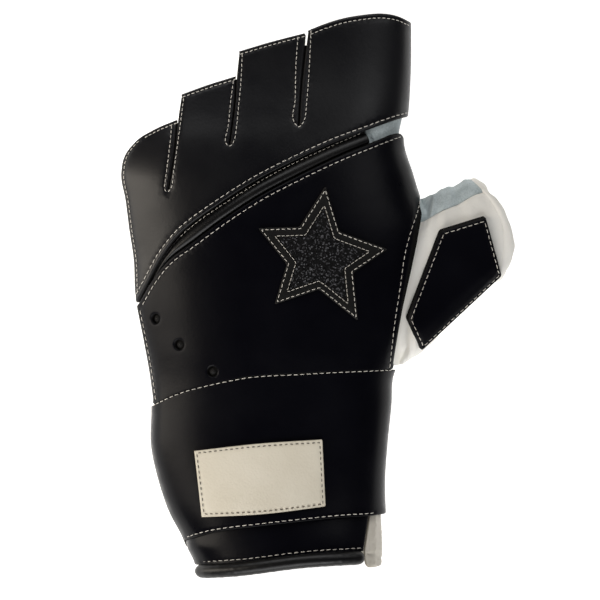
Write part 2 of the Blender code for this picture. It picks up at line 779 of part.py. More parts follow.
def palm_side(along, side):
    """Across in the flat palm of a wall's end: side -1 is the left, which laps the hand plate."""
    _, _, low_left, low_right, _, _ = palm_frame(along)
    reach = PALM_CORNER * (np.pi / 2 - 1) + PALM_WALL
    lap = (LAP - SHORT_STEP) * (1 - cuff_share(along))
    return low_left - reach - lap if side < 0 else low_right + reach


def build_palm():
    """The white palm: a channel with a flat bottom, slit between the fingers."""
    # Columns of the flat pattern: lap, wall, corner, bottom, corner, wall and lap.
    stops = (0, 1, 2, 5, 11, 14, 15, 16)

    def lay_out(first, second, third):
        along = (2 * second - 1) * HALF_LENGTH * FORM[0][0]
        _, _, low_left, low_right, _, _ = palm_frame(along)
        arc = PALM_CORNER * np.pi / 2
        reaches = (arc + PALM_WALL + LAP, arc + PALM_WALL, arc, 0)
        values = [low_left + PALM_CORNER - reach for reach in reaches]
        values += [low_right - PALM_CORNER + reach for reach in reversed(reaches)]
        return sum_between(first * stops[-1], stops, values), along, third * PALM

    slab = make_slab(stops[-1], ARCH_ROWS)
    move_corners(slab, lay_out)
    tips = to_plan(TIPS) - (0, PALM_BACK)
    wrist = PALM_END * HALF_LENGTH
    left = edge_run(wrist, tips[0, 1], ARCH_ROWS // 2, lambda along: palm_side(along, -1))
    right = edge_run(tips[-1, 1], wrist, ARCH_ROWS // 2, lambda along: palm_side(along, 1))
    outline = np.vstack([left, tips[1:-1], right])
    mesh = cut_flat(slab, outline, [slit_outline(rows) for rows in SLITS])
    move_corners(mesh, palm_place)
    palm = finish_piece("palm_panel", mesh, WHITE_LEATHER)
    cut = palm.modifiers.new("thumb hole", "BOOLEAN")
    cut.operation = "DIFFERENCE"
    cut.object = build_thumb_space()


def build_finger_walls():
    """The suede walls between the fingers, each bent round the crotch of its slit."""
    for number, rows in enumerate(SLITS, start=1):
        line = to_plan(rows, 3)
        run = np.gradient(line, axis=0)
        run /= np.linalg.norm(run, axis=1)[:, None]
        side = np.stack([-run[:, 1], run[:, 0]], axis=1) * FINGER_WALL_SPREAD
        # The wall starts on the shorter finger's side behind that finger's end.
        short = 1 if number == len(SLITS) else 4
        turn = np.radians(np.linspace(0, 180, 7))[1:-1, None]
        round_end = line[-1] + np.cos(turn) * -side[-1] + np.sin(turn) * run[-1] * FINGER_WALL_SPREAD
        path = np.vstack([(line - side)[short:], round_end, (line + side)[1:][::-1]])
        ahead = np.gradient(path, axis=0)
        inward = np.stack([-ahead[:, 1], ahead[:, 0]], axis=1)
        inward /= np.linalg.norm(inward, axis=1)[:, None]
        count = len(path) - 1

        def place(first, second, third, path=path, inward=inward, count=count):
            at = np.rint(first * count).astype(int)
            x, y = (path[at] + inward[at] * third[:, None] * SUEDE).T
            low = PALM + LAYER_GAP
            high = form_height(x, y, PLATE + LAYER_GAP)
            return x, y, low + (high - low) * second

        slab = make_slab(count, 1)
        move_corners(slab, place)
        finish_piece(f"fourchette_{number}", slab, GREY_SUEDE)


def thumb_sides(share):
    """The thumb's middle line, half its width, both seen from above, and its height."""
    upper_x, lower_x = (read_table(THUMB, column, share) * HALF_WIDTH for column in (1, 3))
    upper_y, lower_y = (read_table(THUMB, column, share) * HALF_LENGTH for column in (2, 4))
    upper, lower = np.stack([upper_x, upper_y]), np.stack([lower_x, lower_y])
    return (upper + lower) / 2, (lower - upper) / 2, read_table(THUMB, 5, share) * HAND_HEIGHT


def thumb_ring(share, angle):
    """A ring of the thumb at a share of its length, by the angle round it from its lower side."""
    middle, half, height = thumb_sides(share)
    width = np.hypot(*half)
    across = np.cos(angle)
    square = np.where(across > 0, THUMB_SQUARE, THUMB_ROUND)
    level = THUMB_MIDDLE * height
    up = (height - level) * (1 - np.abs(across) ** square) ** THUMB_TOP
    down = (level - THUMB_LIFT) * (1 - across**4) ** THUMB_UNDER
    return middle, half, width, across, level + np.where(np.sin(angle) > 0, up, -down)


def thumb_place(share, angle, out):
    """The same in space, kept under the hand plate at the thumb's root."""
    _, _, _, e0, z0 = thumb_ring(share, angle - SHORT_TURN)
    _, _, _, e1, z1 = thumb_ring(share, angle + SHORT_TURN)
    middle, half, width, e, z = thumb_ring(share, angle)
    run_e, run_z = (e1 - e0) * width, z1 - z0
    size = np.maximum(np.hypot(run_e, run_z), 1e-9)
    e_out, z_out = run_z / size, -run_e / size
    bulge = THUMB_BULGE * share**3 * (1 - e**2) / width
    across = e + e_out * out / width
    x = middle[0] + half[0] * across - half[1] * bulge
    y = middle[1] + half[1] * across + half[0] * bulge
    return x, y, keep_under(x, y, z + z_out * out)


def keep_under(x, y, z):
    """Lower a place that would touch the hand plate, easing off past the plate's edge."""
    cover = form_height(x, y, PLATE + 2 * LAYER_GAP)
    past = np.clip((x - plate_right(y)) / COVER_EASE, 0, 1)
    past = past * past * (3 - 2 * past)
    lowered = np.minimum(z, cover)
    return lowered + (z - lowered) * past


def build_thumb_space():
    """The whole thumb as one block, a seam's gap larger, which opens the palm for it."""
    angles = np.linspace(0, 2 * np.pi, SPACE_SIDES + 1)[:-1]
    work = bmesh.new()
    rings = []
    for share in np.linspace(0, 1, THUMB_COLUMNS + 1):
        x, y, z = thumb_place(np.full_like(angles, share), angles, THUMB_GAP)
        x = x - THUMB_GAP * 2 * (share == 0)
        # Its underside runs down through the palm's bottom.
        z = np.where(z < PALM * 2, -PALM, z)
        rings.append([work.verts.new(corner) for corner in zip(x, y, z)])
    for ring, following in zip(rings, rings[1:]):
        for n in range(SPACE_SIDES):
            work.faces.new((ring[n], ring[n - 1], following[n - 1], following[n]))
    work.faces.new(rings[0])
    work.faces.new(rings[-1])
    bmesh.ops.recalc_face_normals(work, faces=work.faces)
    mesh = bpy.data.meshes.new("thumb_space")
    work.to_mesh(mesh)
    work.free()
    space = new_object("thumb_space", mesh, CUTTERS)
    space.hide_render = True
    space.display_type = "WIRE"
    return space


def build_thumb():
    """The thumb's white sleeve, its suede side, the rolled hem and the stiff patch."""
    seam = math.acos(-THUMB_SEAM)
    suede_end = math.radians(THUMB_SUEDE_ANGLE)
    start, stop = suede_end - 2 * np.pi + THUMB_SEAM_TURN, seam - THUMB_SEAM_TURN

    def sleeve(first, second, third):
        return thumb_place(second, start + first * (stop - start), -PALM * (1 - third))

    def suede(first, second, third):
        angle = seam + first * (suede_end - seam)
        return thumb_place(second, angle, -SUEDE * (1 - third))

    slab = make_slab(THUMB_SIDES, THUMB_COLUMNS)
    move_corners(slab, sleeve)
    finish_piece("thumb_sleeve", slab, WHITE_LEATHER)
    slab = make_slab(SUEDE_COLUMNS, THUMB_COLUMNS)
    move_corners(slab, suede)
    finish_piece("thumb_gusset", slab, GREY_SUEDE)

    angles = np.linspace(0, 2 * np.pi, THUMB_SIDES + 3)[:-1]
    x, y, z = thumb_place(np.ones_like(angles), angles, np.full_like(angles, -HEM_DIAMETER / 2))
    _, half, _ = thumb_sides(1.0)
    reach = (HEM_DIAMETER / 2 + SEAM_GAP * 2) / np.hypot(*half)
    path = np.stack([x - half[1] * reach, y + half[0] * reach, z], axis=1)
    make_tube("thumb_hem", WHITE_LEATHER, path, HEM_DIAMETER, True)


def thumb_where(x, y):
    """The share of the thumb's length and the place across it of a point seen from above."""
    low, high = np.zeros_like(x), np.full_like(x, THUMB[-1][0])
    for _ in range(30):
        share = (low + high) / 2
        middle, half, _ = thumb_sides(share)
        square = half[0] ** 2 + half[1] ** 2
        ahead = ((y - middle[1]) * half[0] - (x - middle[0]) * half[1]) / np.sqrt(square)
        across = ((x - middle[0]) * half[0] + (y - middle[1]) * half[1]) / square
        beyond = ahead > THUMB_BULGE * share**3 * np.maximum(1 - across**2, 0)
        low, high = np.where(beyond, share, low), np.where(beyond, high, share)
    return share, across


def build_thumb_patch():
    """The stiff five-sided patch on the thumb, which holds its own flatter shape."""
    corners = to_plan(THUMB_PATCH)
    stops = (-1.0, -0.7, -0.5, -0.3, -0.1, 0.1, 0.3, 0.5, 0.65, 0.78, 0.88, 0.95, 1.02, 1.15)

    def lay_out(first, second, third):
        middle, half, _ = thumb_sides(first * THUMB[-1][0])
        across = np.interp(second, np.linspace(0, 1, len(stops)), stops)
        return middle[0] + half[0] * across, middle[1] + half[1] * across, (third - 1) * PLATE

    def place(x, y, height):
        share, e = thumb_where(x, y)
        _, _, tall = thumb_sides(share)
        level = THUMB_MIDDLE * tall
        bend = np.where(e > 0, THUMB_SQUARE, THUMB_ROUND)
        near = np.minimum(np.abs(e), PATCH_FLAT)
        rise = (1 - near**bend) ** THUMB_TOP
        steep = THUMB_TOP * (1 - near**bend) ** (THUMB_TOP - 1) * bend * near ** (bend - 1)
        fall = steep * (np.abs(e) - near)
        z = level + (tall - level) * (rise - fall)
        return x, y, keep_under(x, y, z) + PLATE + PATCH_GAP + height

    slab = make_slab(9, len(stops) - 1)
    move_corners(slab, lay_out)
    mesh = cut_flat(slab, corners, [])
    move_corners(mesh, place)
    finish_piece("thumb_patch", mesh, BLACK_LEATHER)


for old in list(bpy.data.objects):
    bpy.data.objects.remove(old)

GLOVE = bpy.data.collections.new("shooting_glove")
CUTTERS = bpy.data.collections.new("cutters")
for group in (GLOVE, CUTTERS):
    bpy.context.scene.collection.children.link(group)

BLACK_LEATHER = new_material("black_leather", (0.006, 0.006, 0.008), 0.38)
WHITE_LEATHER = new_material("white_leather", (0.70, 0.66, 0.57), 0.65)
GREY_SUEDE = new_material("grey_suede", (0.33, 0.38, 0.40), 0.95)
GRIT = new_material("gritty_inlay", (0.012, 0.012, 0.013), 0.55)
LABEL_LEATHER = new_material("label_leather", (0.70, 0.62, 0.49), 0.70)

build_finger_plate()
build_hand_plate()
build_cuff_plate()
build_star()
build_label()
build_wristband()
build_knuckle_roll()
build_index_gusset()
build_palm()
build_finger_walls()
build_thumb()
build_thumb_patch()
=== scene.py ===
# %% [markdown]
# # A shooting glove in leather
#
# A stiff glove for the left hand lies palm down. Black leather plates are sewn over a soft
# base of white leather and grey suede. Each plate is cut flat from hide, so here too each one
# starts as a flat outline and is then laid on one arched form.

# %% Start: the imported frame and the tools
import math
import bmesh
import bpy
import numpy as np
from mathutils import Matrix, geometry


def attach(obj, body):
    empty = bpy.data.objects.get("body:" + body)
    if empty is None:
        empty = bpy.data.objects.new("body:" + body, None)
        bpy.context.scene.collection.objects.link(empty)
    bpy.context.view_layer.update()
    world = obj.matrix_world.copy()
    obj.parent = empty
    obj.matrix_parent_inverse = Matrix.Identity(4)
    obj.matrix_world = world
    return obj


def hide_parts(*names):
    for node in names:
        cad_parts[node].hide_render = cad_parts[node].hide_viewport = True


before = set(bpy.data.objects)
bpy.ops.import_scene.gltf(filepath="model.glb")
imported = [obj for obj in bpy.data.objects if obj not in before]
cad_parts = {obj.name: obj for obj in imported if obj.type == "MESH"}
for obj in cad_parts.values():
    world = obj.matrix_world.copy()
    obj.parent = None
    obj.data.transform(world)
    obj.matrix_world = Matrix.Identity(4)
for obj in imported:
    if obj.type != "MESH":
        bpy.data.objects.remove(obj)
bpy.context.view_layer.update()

# %% [markdown]
# ## The form under the leather
#
# The back of the glove is one arch whose width and height change from the fingertips to the
# wrist. Sections through it are read from a short table of shares: across counts from the
# middle to the thumb in half widths, along from the middle to the fingertips in half lengths,
# and heights in hand heights. A smooth curve between the rows gives every place in between.
# Sculpting a hand and draping leather over it would be closer to life, but a table can be
# measured against the object and corrected row by row.

# %% Sizes and the table of the form
HALF_WIDTH = 0.0823
HALF_LENGTH = 0.1185
HAND_HEIGHT = 0.0460
PLATE = 0.0020            # stiff leather
PALM = 0.0014             # soft leather
SUEDE = 0.0010
BAND = 0.0012
LAYER = 0.0004            # between a piece and the one under it
FULLNESS = 0.8            # 1 is an ellipse, less is flatter on top

# along, left side, right side, shoulder height, crown height
FORM = (
    (1.020, -0.860, 0.478, 0.30, 0.66),
    (0.790, -0.910, 0.476, 0.32, 0.74),
    (0.640, -0.955, 0.462, 0.35, 0.83),
    (0.546, -1.010, 0.441, 0.37, 0.89),
    (0.433, -1.043, 0.487, 0.39, 0.94),
    (0.337, -1.021, 0.531, 0.39, 0.97),
    (0.234, -1.002, 0.590, 0.38, 0.99),
    (0.100, -0.972, 0.610, 0.37, 1.00),
    (-0.009, -0.960, 0.585, 0.37, 1.00),
    (-0.130, -0.925, 0.505, 0.38, 0.99),
    (-0.210, -0.893, 0.436, 0.40, 0.98),
    (-0.284, -0.868, 0.389, 0.42, 0.96),
    (-0.390, -0.854, 0.377, 0.43, 0.94),
    (-0.535, -0.855, 0.356, 0.43, 0.92),
    (-0.664, -0.815, 0.344, 0.43, 0.93),
    (-0.779, -0.757, 0.349, 0.43, 0.96),
    (-0.865, -0.692, 0.356, 0.44, 0.99),
    (-1.020, -0.640, 0.352, 0.45, 1.02),
)


def ease(t):
    """A share that sets off and arrives gently: three squares less two cubes."""
    return t * t * (3 - 2 * t)


def read_table(rows, column, at):
    """A table's column on a smooth curve: a cubic between each two rows, with their slopes."""
    table = np.array(sorted(rows), dtype=float)
    place, value = table[:, 0], table[:, column]
    slope = np.gradient(value, place)
    at = np.clip(at, place[0], place[-1])
    low = np.clip(np.searchsorted(place, at) - 1, 0, len(place) - 2)
    width = place[low + 1] - place[low]
    t = (at - place[low]) / width
    bend = ease(t)
    return (value[low] * (1 - bend) + value[low + 1] * bend
            + width * slope[low] * t * (1 - t) ** 2 - width * slope[low + 1] * t * t * (1 - t))


def form_section(y):
    """The arch at a length: its left, its right, its shoulder and its crown, in metres."""
    share = np.asarray(y) / HALF_LENGTH
    sides = (read_table(FORM, n, share) * HALF_WIDTH for n in (1, 2))
    heights = (read_table(FORM, n, share) * HAND_HEIGHT for n in (3, 4))
    return (*sides, *heights)


def wrap(x, y, depth):
    """Lay a flat place on the form.

    Across the arch x is the middle plus half the width times a sine, and z is the shoulder
    plus the rise times the cosine to the power of the fullness. Past the sides x runs on
    down the wall. The depth is measured inwards along the normal.
    """
    left, right, shoulder, crown = form_section(y)
    middle, half, rise = (left + right) / 2, (right - left) / 2, crown - shoulder
    sine = np.clip((x - middle) / half, -1, 1)
    cosine = np.sqrt(1 - sine**2)
    down = np.maximum(x - right, 0) + np.maximum(left - x, 0)
    out_x = rise * FULLNESS * sine
    out_z = half * cosine ** (2 - FULLNESS)
    size = np.hypot(out_x, out_z)
    return np.stack([
        middle + half * sine - depth * out_x / size,
        y + 0 * x,
        shoulder + rise * cosine**FULLNESS - down - depth * out_z / size], axis=-1)


print("form at the knuckles, mm:", [round(float(v) * 1000, 1) for v in form_section(0.04)])

# %% [markdown]
# ## Lines in the flat
#
# A pattern cutter draws smooth lines through a few points. These helpers do the same: one
# draws the line, one steps along it evenly, one moves it sideways as a compass set to the
# seam allowance does. Blender's own curves could do it too, but a plain array of points can be
# measured, cut and moved in one line of code.

# %% Line helpers
BATCH = 2000              # points that are measured at a time, to spare memory
MARGIN = 0.0006           # least space between two lines where they meet at a corner


def turns(count):
    """Angles spaced evenly round a full turn."""
    return np.linspace(0, 2 * np.pi, count + 1)[:-1]


def unit(vectors):
    """Vectors brought to length one."""
    return vectors / np.linalg.norm(vectors, axis=-1, keepdims=True)


def left_of(ahead):
    """Directions in the flat, turned a quarter to the left."""
    return np.stack([-ahead[:, 1], ahead[:, 0]], axis=1)


def smooth_through(rows, count):
    """A smooth curve through the rows, with the same number of points between each two."""
    points = np.array(rows, dtype=float)
    ends = np.vstack([2 * points[0] - points[1], points, 2 * points[-1] - points[-2]])
    steps = np.linspace(0, len(points) - 1, (len(points) - 1) * count + 1)
    start = np.minimum(steps.astype(int), len(points) - 2)
    t = (steps - start)[:, None]
    a, b, c, d = ends[start], ends[start + 1], ends[start + 2], ends[start + 3]
    return b + 0.5 * t * (c - a + t * (2 * a - 5 * b + 4 * c - d + t * (3 * (b - c) + d - a)))


def share_line(rows, count=8):
    """A smooth line in metres through a table of shares."""
    return smooth_through(rows, count)[:, :2] * (HALF_WIDTH, HALF_LENGTH)


def mm_line(rows, count=8):
    """A smooth line in metres through a table of millimetres."""
    return smooth_through(rows, count) / 1000


def closed_line(line):
    """The line with its first point once more at its end."""
    return np.vstack([line, line[:1]])


def run_along(line):
    """How far along a line each of its points lies."""
    return np.concatenate([[0], np.cumsum(np.linalg.norm(np.diff(line, axis=0), axis=1))])


def read_line(line, run, at):
    """The places on a line where its run has these lengths."""
    return np.stack([np.interp(at, run, line[:, n]) for n in range(line.shape[1])], axis=-1)


def even_steps(line, step, closed=False):
    """The same line with its points a step apart."""
    line = closed_line(line) if closed else line
    run = run_along(line)
    count = max(int(round(run[-1] / step)), 1)
    points = read_line(line, run, np.linspace(0, run[-1], count + 1))
    return points[:-1] if closed else points


def to_the_left(line, distance):
    """The line moved sideways, to the left of the way it runs."""
    ahead = unit(np.gradient(line, axis=0))
    return line + left_of(ahead) * np.asarray(distance)[..., None]


def distance_to(points, line, closed=False):
    """How far each point is from a line, and how far along the line it lies."""
    start = line if closed else line[:-1]
    ahead = (np.roll(line, -1, axis=0) if closed else line[1:]) - start
    length = np.linalg.norm(ahead, axis=1)
    run = np.concatenate([[0], np.cumsum(length)[:-1]])
    best, along = np.full(len(points), np.inf), np.zeros(len(points))
    for first in range(0, len(points), BATCH):
        part = points[first:first + BATCH, None] - start
        t = np.clip((part * ahead).sum(-1) / np.maximum(length**2, 1e-18), 0, 1)
        gap = np.linalg.norm(part - t[..., None] * ahead, axis=-1)
        near = gap.argmin(axis=1)
        rows = np.arange(len(near))
        best[first:first + BATCH] = gap[rows, near]
        along[first:first + BATCH] = run[near] + t[rows, near] * length[near]
    return best, along


def between(line, low, high):
    """The points of a line between two places across."""
    return line[(line[:, 0] > low + MARGIN) & (line[:, 0] < high - MARGIN)]


def down_an_edge(start, end, across, count=40):
    """Points from one length to another, at the across worked out for each."""
    along = np.linspace(start, end, count)
    return np.stack([across(along), along], axis=1)


# %% [markdown]
# ## The outlines
#
# The pattern pieces of the back: four fingers in one plate, the back of the hand, the cuff
# and the thin band below it. Their edges share lines where they meet, so each line is drawn
# once and used by both neighbours. Curves drawn by hand would look the same, but rows of
# shares keep the pattern together when one of them is moved.

# %% Tables of the outlines (shares: across, along)
PLATE_LEFT = (
    (0.567, -0.895), (0.505, -0.974), (0.433, -1.000), (0.337, -0.978), (0.234, -0.959),
    (0.131, -0.937), (-0.009, -0.927), (-0.139, -0.892), (-0.244, -0.864), (-0.395, -0.832),
)
PLATE_RIGHT = (
    (0.346, 0.528), (0.210, 0.488), (0.091, 0.460), (-0.018, 0.434), (-0.118, 0.413),
    (-0.208, 0.395), (-0.275, 0.383),
)
# across, along and half the width of the gap over the knuckles
KNUCKLES = (
    (-0.922, -0.028, 0.003), (-0.857, 0.053, 0.005), (-0.776, 0.135, 0.014),
    (-0.663, 0.209, 0.027), (-0.500, 0.292, 0.027), (-0.321, 0.372, 0.027),
    (-0.153, 0.434, 0.027), (0.061, 0.505, 0.026), (0.240, 0.555, 0.024),
    (0.440, 0.606, 0.022), (0.600, 0.630, 0.020),
)
LITTLE_TIP = ((-0.895, 0.567), (-0.813, 0.596), (-0.723, 0.621))
RING_TIP = ((-0.701, 0.711), (-0.560, 0.746), (-0.420, 0.776))
MIDDLE_TIP = ((-0.405, 0.864), (-0.240, 0.898), (-0.068, 0.929))
INDEX_TIP = (
    (-0.051, 0.938), (0.031, 0.961), (0.128, 0.982), (0.235, 0.995), (0.327, 1.000),
    (0.408, 0.992), (0.478, 0.972),
)
TIPS = (LITTLE_TIP, RING_TIP, MIDDLE_TIP, INDEX_TIP)
# across, along, width in slit widths, from the longer finger's end to the crotch
SLITS = (
    ((-0.699, 0.720, 1.0), (-0.719, 0.624, 1.0), (-0.735, 0.500, 1.0), (-0.765, 0.372, 1.0)),
    ((-0.404, 0.872, 1.0), (-0.418, 0.777, 1.0), (-0.426, 0.674, 1.0), (-0.452, 0.532, 1.0)),
    ((-0.049, 0.950, 1.6), (-0.056, 0.920, 1.4), (-0.084, 0.745, 1.0), (-0.097, 0.599, 1.0)),
)
SLIT = 0.0006             # width of a slit
WRIST_SEAM = (
    (-0.900, -0.393), (-0.842, -0.390), (-0.740, -0.356), (-0.633, -0.331), (-0.429, -0.299),
    (-0.296, -0.286), (-0.092, -0.279), (0.061, -0.273), (0.378, -0.264), (0.480, -0.263),
)
CUFF_HEM = (
    (-0.780, -0.897), (-0.671, -0.868), (-0.530, -0.840), (-0.276, -0.817), (0.076, -0.791),
    (0.288, -0.782), (0.460, -0.766),
)
BAND_END = (
    (-0.740, -0.954), (-0.622, -0.958), (-0.471, -0.953), (-0.354, -0.945),
    (-0.120, -0.924), (0.050, -0.915), (0.252, -0.909),
)
BAND_RIGHT = ((0.283, -0.760), (0.278, -0.790), (0.250, -0.908))
TAB_END = ((0.262, -0.938), (0.270, -0.956), (0.294, -0.966), (0.354, -0.960), (0.378, -0.942))
TURN_DOWN = 0.0080        # how far the plates turn down the sides
WALL_TOP = 0.0050         # from the shoulder down to the top of the palm's walls
SIDE_FOLD = (0.346, 0.406)    # along, where the hand plate begins and ends turning down
ROUNDED_OFF = 0.0009      # what the rounded corner hides of the plates' left edge
CORNER_START = 32.5       # mm across, where the hand plate's round upper corner begins
HAND_CORNER = ((34.9, 68.0), (36.5, 66.6), (38.0, 63.8), (40.5, 60.5))


def plate_left(y):
    """Across of the plates' left edge, with what the rounded corner takes off added."""
    return read_table(PLATE_LEFT, 1, np.asarray(y) / HALF_LENGTH) * HALF_WIDTH - ROUNDED_OFF


def plate_right(y):
    """Across of the hand plate's edge over the thumb's root."""
    return read_table(PLATE_RIGHT, 1, np.asarray(y) / HALF_LENGTH) * HALF_WIDTH


def knuckle_edge(side, lap=0.0):
    """One side of the knuckle gap: +1 to the fingers, -1 to the hand, moved on by the lap."""
    line = smooth_through(KNUCKLES, 12)
    middle = line[:, :2] * (HALF_WIDTH, HALF_LENGTH)
    return to_the_left(middle, side * (line[:, 2] * HALF_LENGTH + lap))


def slit_side(rows, side):
    """A slit's side from the longer finger's end to the crotch: +1 is the longer finger's."""
    line = smooth_through(rows, 10)
    return to_the_left(line[:, :2] * (HALF_WIDTH, HALF_LENGTH), side * line[:, 2] * SLIT / 2)


def over_the_tips(tips):
    """The fingertips, with each slit between two of them: down one side and up the other."""
    pieces = []
    for tip, following, slit in zip(tips, tips[1:], SLITS):
        down, up = slit_side(slit, -1), slit_side(slit, 1)[::-1]
        pieces += [tip, down[down[:, 1] < tip[-1, 1]], up[up[:, 1] < following[0, 1]]]
    return pieces + [tips[-1]]


def finger_outline():
    """The finger plate: up the left side, over the tips and slits, and down the index side."""
    lower = knuckle_edge(1)[::-1]
    lower = lower[lower[:, 0] < form_section(lower[:, 1])[1] + TURN_DOWN - MARGIN]
    tips = [share_line(rows, 6) for rows in TIPS]
    left = down_an_edge(lower[-1, 1], tips[0][0, 1], plate_left)[:-1]
    turned = down_an_edge(tips[-1][-1, 1] - 0.003, lower[0, 1],
                          lambda y: form_section(y)[1] + TURN_DOWN)
    return np.vstack([left, *over_the_tips(tips), turned, lower[1:-1]])


def hand_outline():
    """The hand plate: along the knuckles, down over the thumb's root, along the wrist and up."""
    fold = np.array(SIDE_FOLD) * HALF_LENGTH

    def right_fold(y):
        """Across of the edge that turns down beside the index finger."""
        return form_section(y)[1] + np.interp(y, fold, (0.0, TURN_DOWN))

    # The upper corner is cut round before the leather turns down the side.
    upper = knuckle_edge(-1)
    upper = upper[upper[:, 0] < CORNER_START / 1000]
    corner = mm_line(((CORNER_START, upper[-1, 1] * 1000), *HAND_CORNER), 6)
    upper = np.vstack([upper, corner[1:]])
    side = down_an_edge(0.0590, fold[0] + 0.0005, right_fold, 20)
    seam = share_line(WRIST_SEAM)[::-1]
    right = down_an_edge(fold[0], seam[0, 1] + 0.0004, plate_right)
    seam = seam[(seam[:, 0] < right[-1, 0] - MARGIN)
                & (seam[:, 0] > plate_left(seam[:, 1]) + MARGIN)]
    left = down_an_edge(seam[-1, 1] + 0.0004, upper[0, 1], plate_left)
    return np.vstack([upper[1:], side, right, seam, left[:-1]])


def cuff_outline():
    """The cuff: along the wrist seam, down the right side, along the hem and up."""
    seam, hem = share_line(WRIST_SEAM) - (0, 0.0003), share_line(CUFF_HEM)[::-1]
    left = down_an_edge(hem[-1, 1], seam[0, 1], lambda y: form_section(y)[0] - TURN_DOWN)
    right = down_an_edge(seam[-1, 1], hem[0, 1], lambda y: form_section(y)[1] + TURN_DOWN)
    return np.vstack([between(seam, left[-1, 0], right[0, 0]), right,
                      between(hem, left[0, 0], right[-1, 0]), left])


print("outlines:", [len(line) for line in (finger_outline(), hand_outline(), cuff_outline())])

# %% [markdown]
# ## A piece of leather
#
# Cut leather is flat hide with a rounded upper corner and a raw side. The outline gives the
# flat piece; rows of points follow the edge inwards, where the corner rounds and the thread
# pulls the leather down, and a coarser grid fills the middle. A Delaunay net joins them in
# the flat, and only then is each point laid on the form at its depth. A Bevel modifier could
# round the corner, but it would not know the seams, and the furrows need these rows anyway.

# %% The leather piece
# How far in from an edge each row of points lies.
ROWS = tuple(n / 10000 for n in (1.2, 2.8, 5, 7.5, 10, 12.5, 15, 17.5, 20, 23, 27))
FURROW = 0.00025          # how deep a seam pulls the thick leather down
FURROW_REACH = 0.0007     # how far to each side of the seam


def inside(points, outline):
    """Which points lie inside a closed outline, by counting the sides to their right."""
    x0, y0 = outline.T
    x1, y1 = np.roll(outline, -1, axis=0).T
    result = np.zeros(len(points), dtype=bool)
    for first in range(0, len(points), BATCH):
        x, y = points[first:first + BATCH, :1], points[first:first + BATCH, 1:]
        crosses = (y0 > y) != (y1 > y)
        reach = x0 + (y - y0) * (x1 - x0) / np.where(y1 == y0, 1e-12, y1 - y0)
        result[first:first + BATCH] = (crosses & (x < reach)).sum(axis=1) % 2 == 1
    return result


def inside_loops(points, loops):
    """Which points lie inside the first loop and outside the others, which are its holes."""
    result = inside(points, loops[0])
    for hole in loops[1:]:
        result &= ~inside(points, hole)
    return result


def edge_gap(points, loops):
    """How far each point is from the nearest loop."""
    return np.min([distance_to(points, loop, True)[0] for loop in loops], axis=0)


def flat_net(outline, holes, step, middle):
    """Points and triangles over a flat outline, with rows along its edges."""
    loops = [even_steps(outline, step, True)]
    loops += [even_steps(hole, step * 0.6, True) for hole in holes]
    rows = []
    for loop in loops:
        side = left_of(unit(np.roll(loop, -1, axis=0) - np.roll(loop, 1, axis=0)))
        for n, inset in enumerate(ROWS):
            stagger = loop if n % 2 else (loop + np.roll(loop, -1, axis=0)) / 2
            for way in (-1, 1):
                moved = stagger + side * inset * way
                rows.append(np.column_stack([moved, np.full(len(moved), inset)]))
    # The middle is a net of equal triangles, whose rows are 0.866 of a side apart.
    x = np.arange(outline[:, 0].min(), outline[:, 0].max(), middle)
    y = np.arange(outline[:, 1].min(), outline[:, 1].max(), middle * 0.866)
    grid = np.stack(np.meshgrid(x, y), axis=-1)
    grid[1::2, :, 0] += middle / 2
    grid = grid.reshape(-1, 2)
    grid = np.column_stack([grid, np.full(len(grid), ROWS[-1] + middle * 0.5)])
    every = np.vstack([grid, *rows])
    # A point stays if no edge is much nearer to it than the one that it was made from.
    keep = edge_gap(every[:, :2], loops) > every[:, 2] * 0.93
    keep &= inside_loops(every[:, :2], loops)
    points = np.vstack([*loops, every[keep, :2]])
    edges, first = [], 0
    for loop in loops:
        ring = np.arange(first, first + len(loop))
        edges += list(zip(ring.tolist(), np.roll(ring, -1).tolist()))
        first += len(loop)
    net = geometry.delaunay_2d_cdt((points * 1000).tolist(), edges, [], 0, 1e-5)
    where = np.array([(v[0], v[1]) for v in net[0]]) / 1000
    triangles = np.array([f for f in net[2] if len(f) == 3])
    triangles = triangles[inside_loops(where[triangles].mean(axis=1), loops)]
    return where, triangles, edge_gap(where, loops)


def add_object(name, data):
    """A new object in the scene, at the origin."""
    thing = bpy.data.objects.new(name, data)
    bpy.context.scene.collection.objects.link(thing)
    return thing


def raw_share(mesh, share):
    """How far each point of a mesh is raw edge, which the materials read."""
    layer = mesh.attributes.new("raw", "FLOAT", "POINT")
    layer.data.foreach_set("value", np.asarray(share, dtype=np.float32))


def new_piece(name, mesh, material, node=None, sharp=None):
    """A piece at the origin, smooth, riding on the glove, that stands for its node."""
    mesh.materials.append(material)
    mesh.shade_smooth()
    if sharp:
        mesh.set_sharp_from_angle(angle=math.radians(sharp))
    piece = add_object(name, mesh)
    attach(piece, "root")
    if node:
        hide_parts(node)
    print(name, len(mesh.polygons), "faces")
    return piece


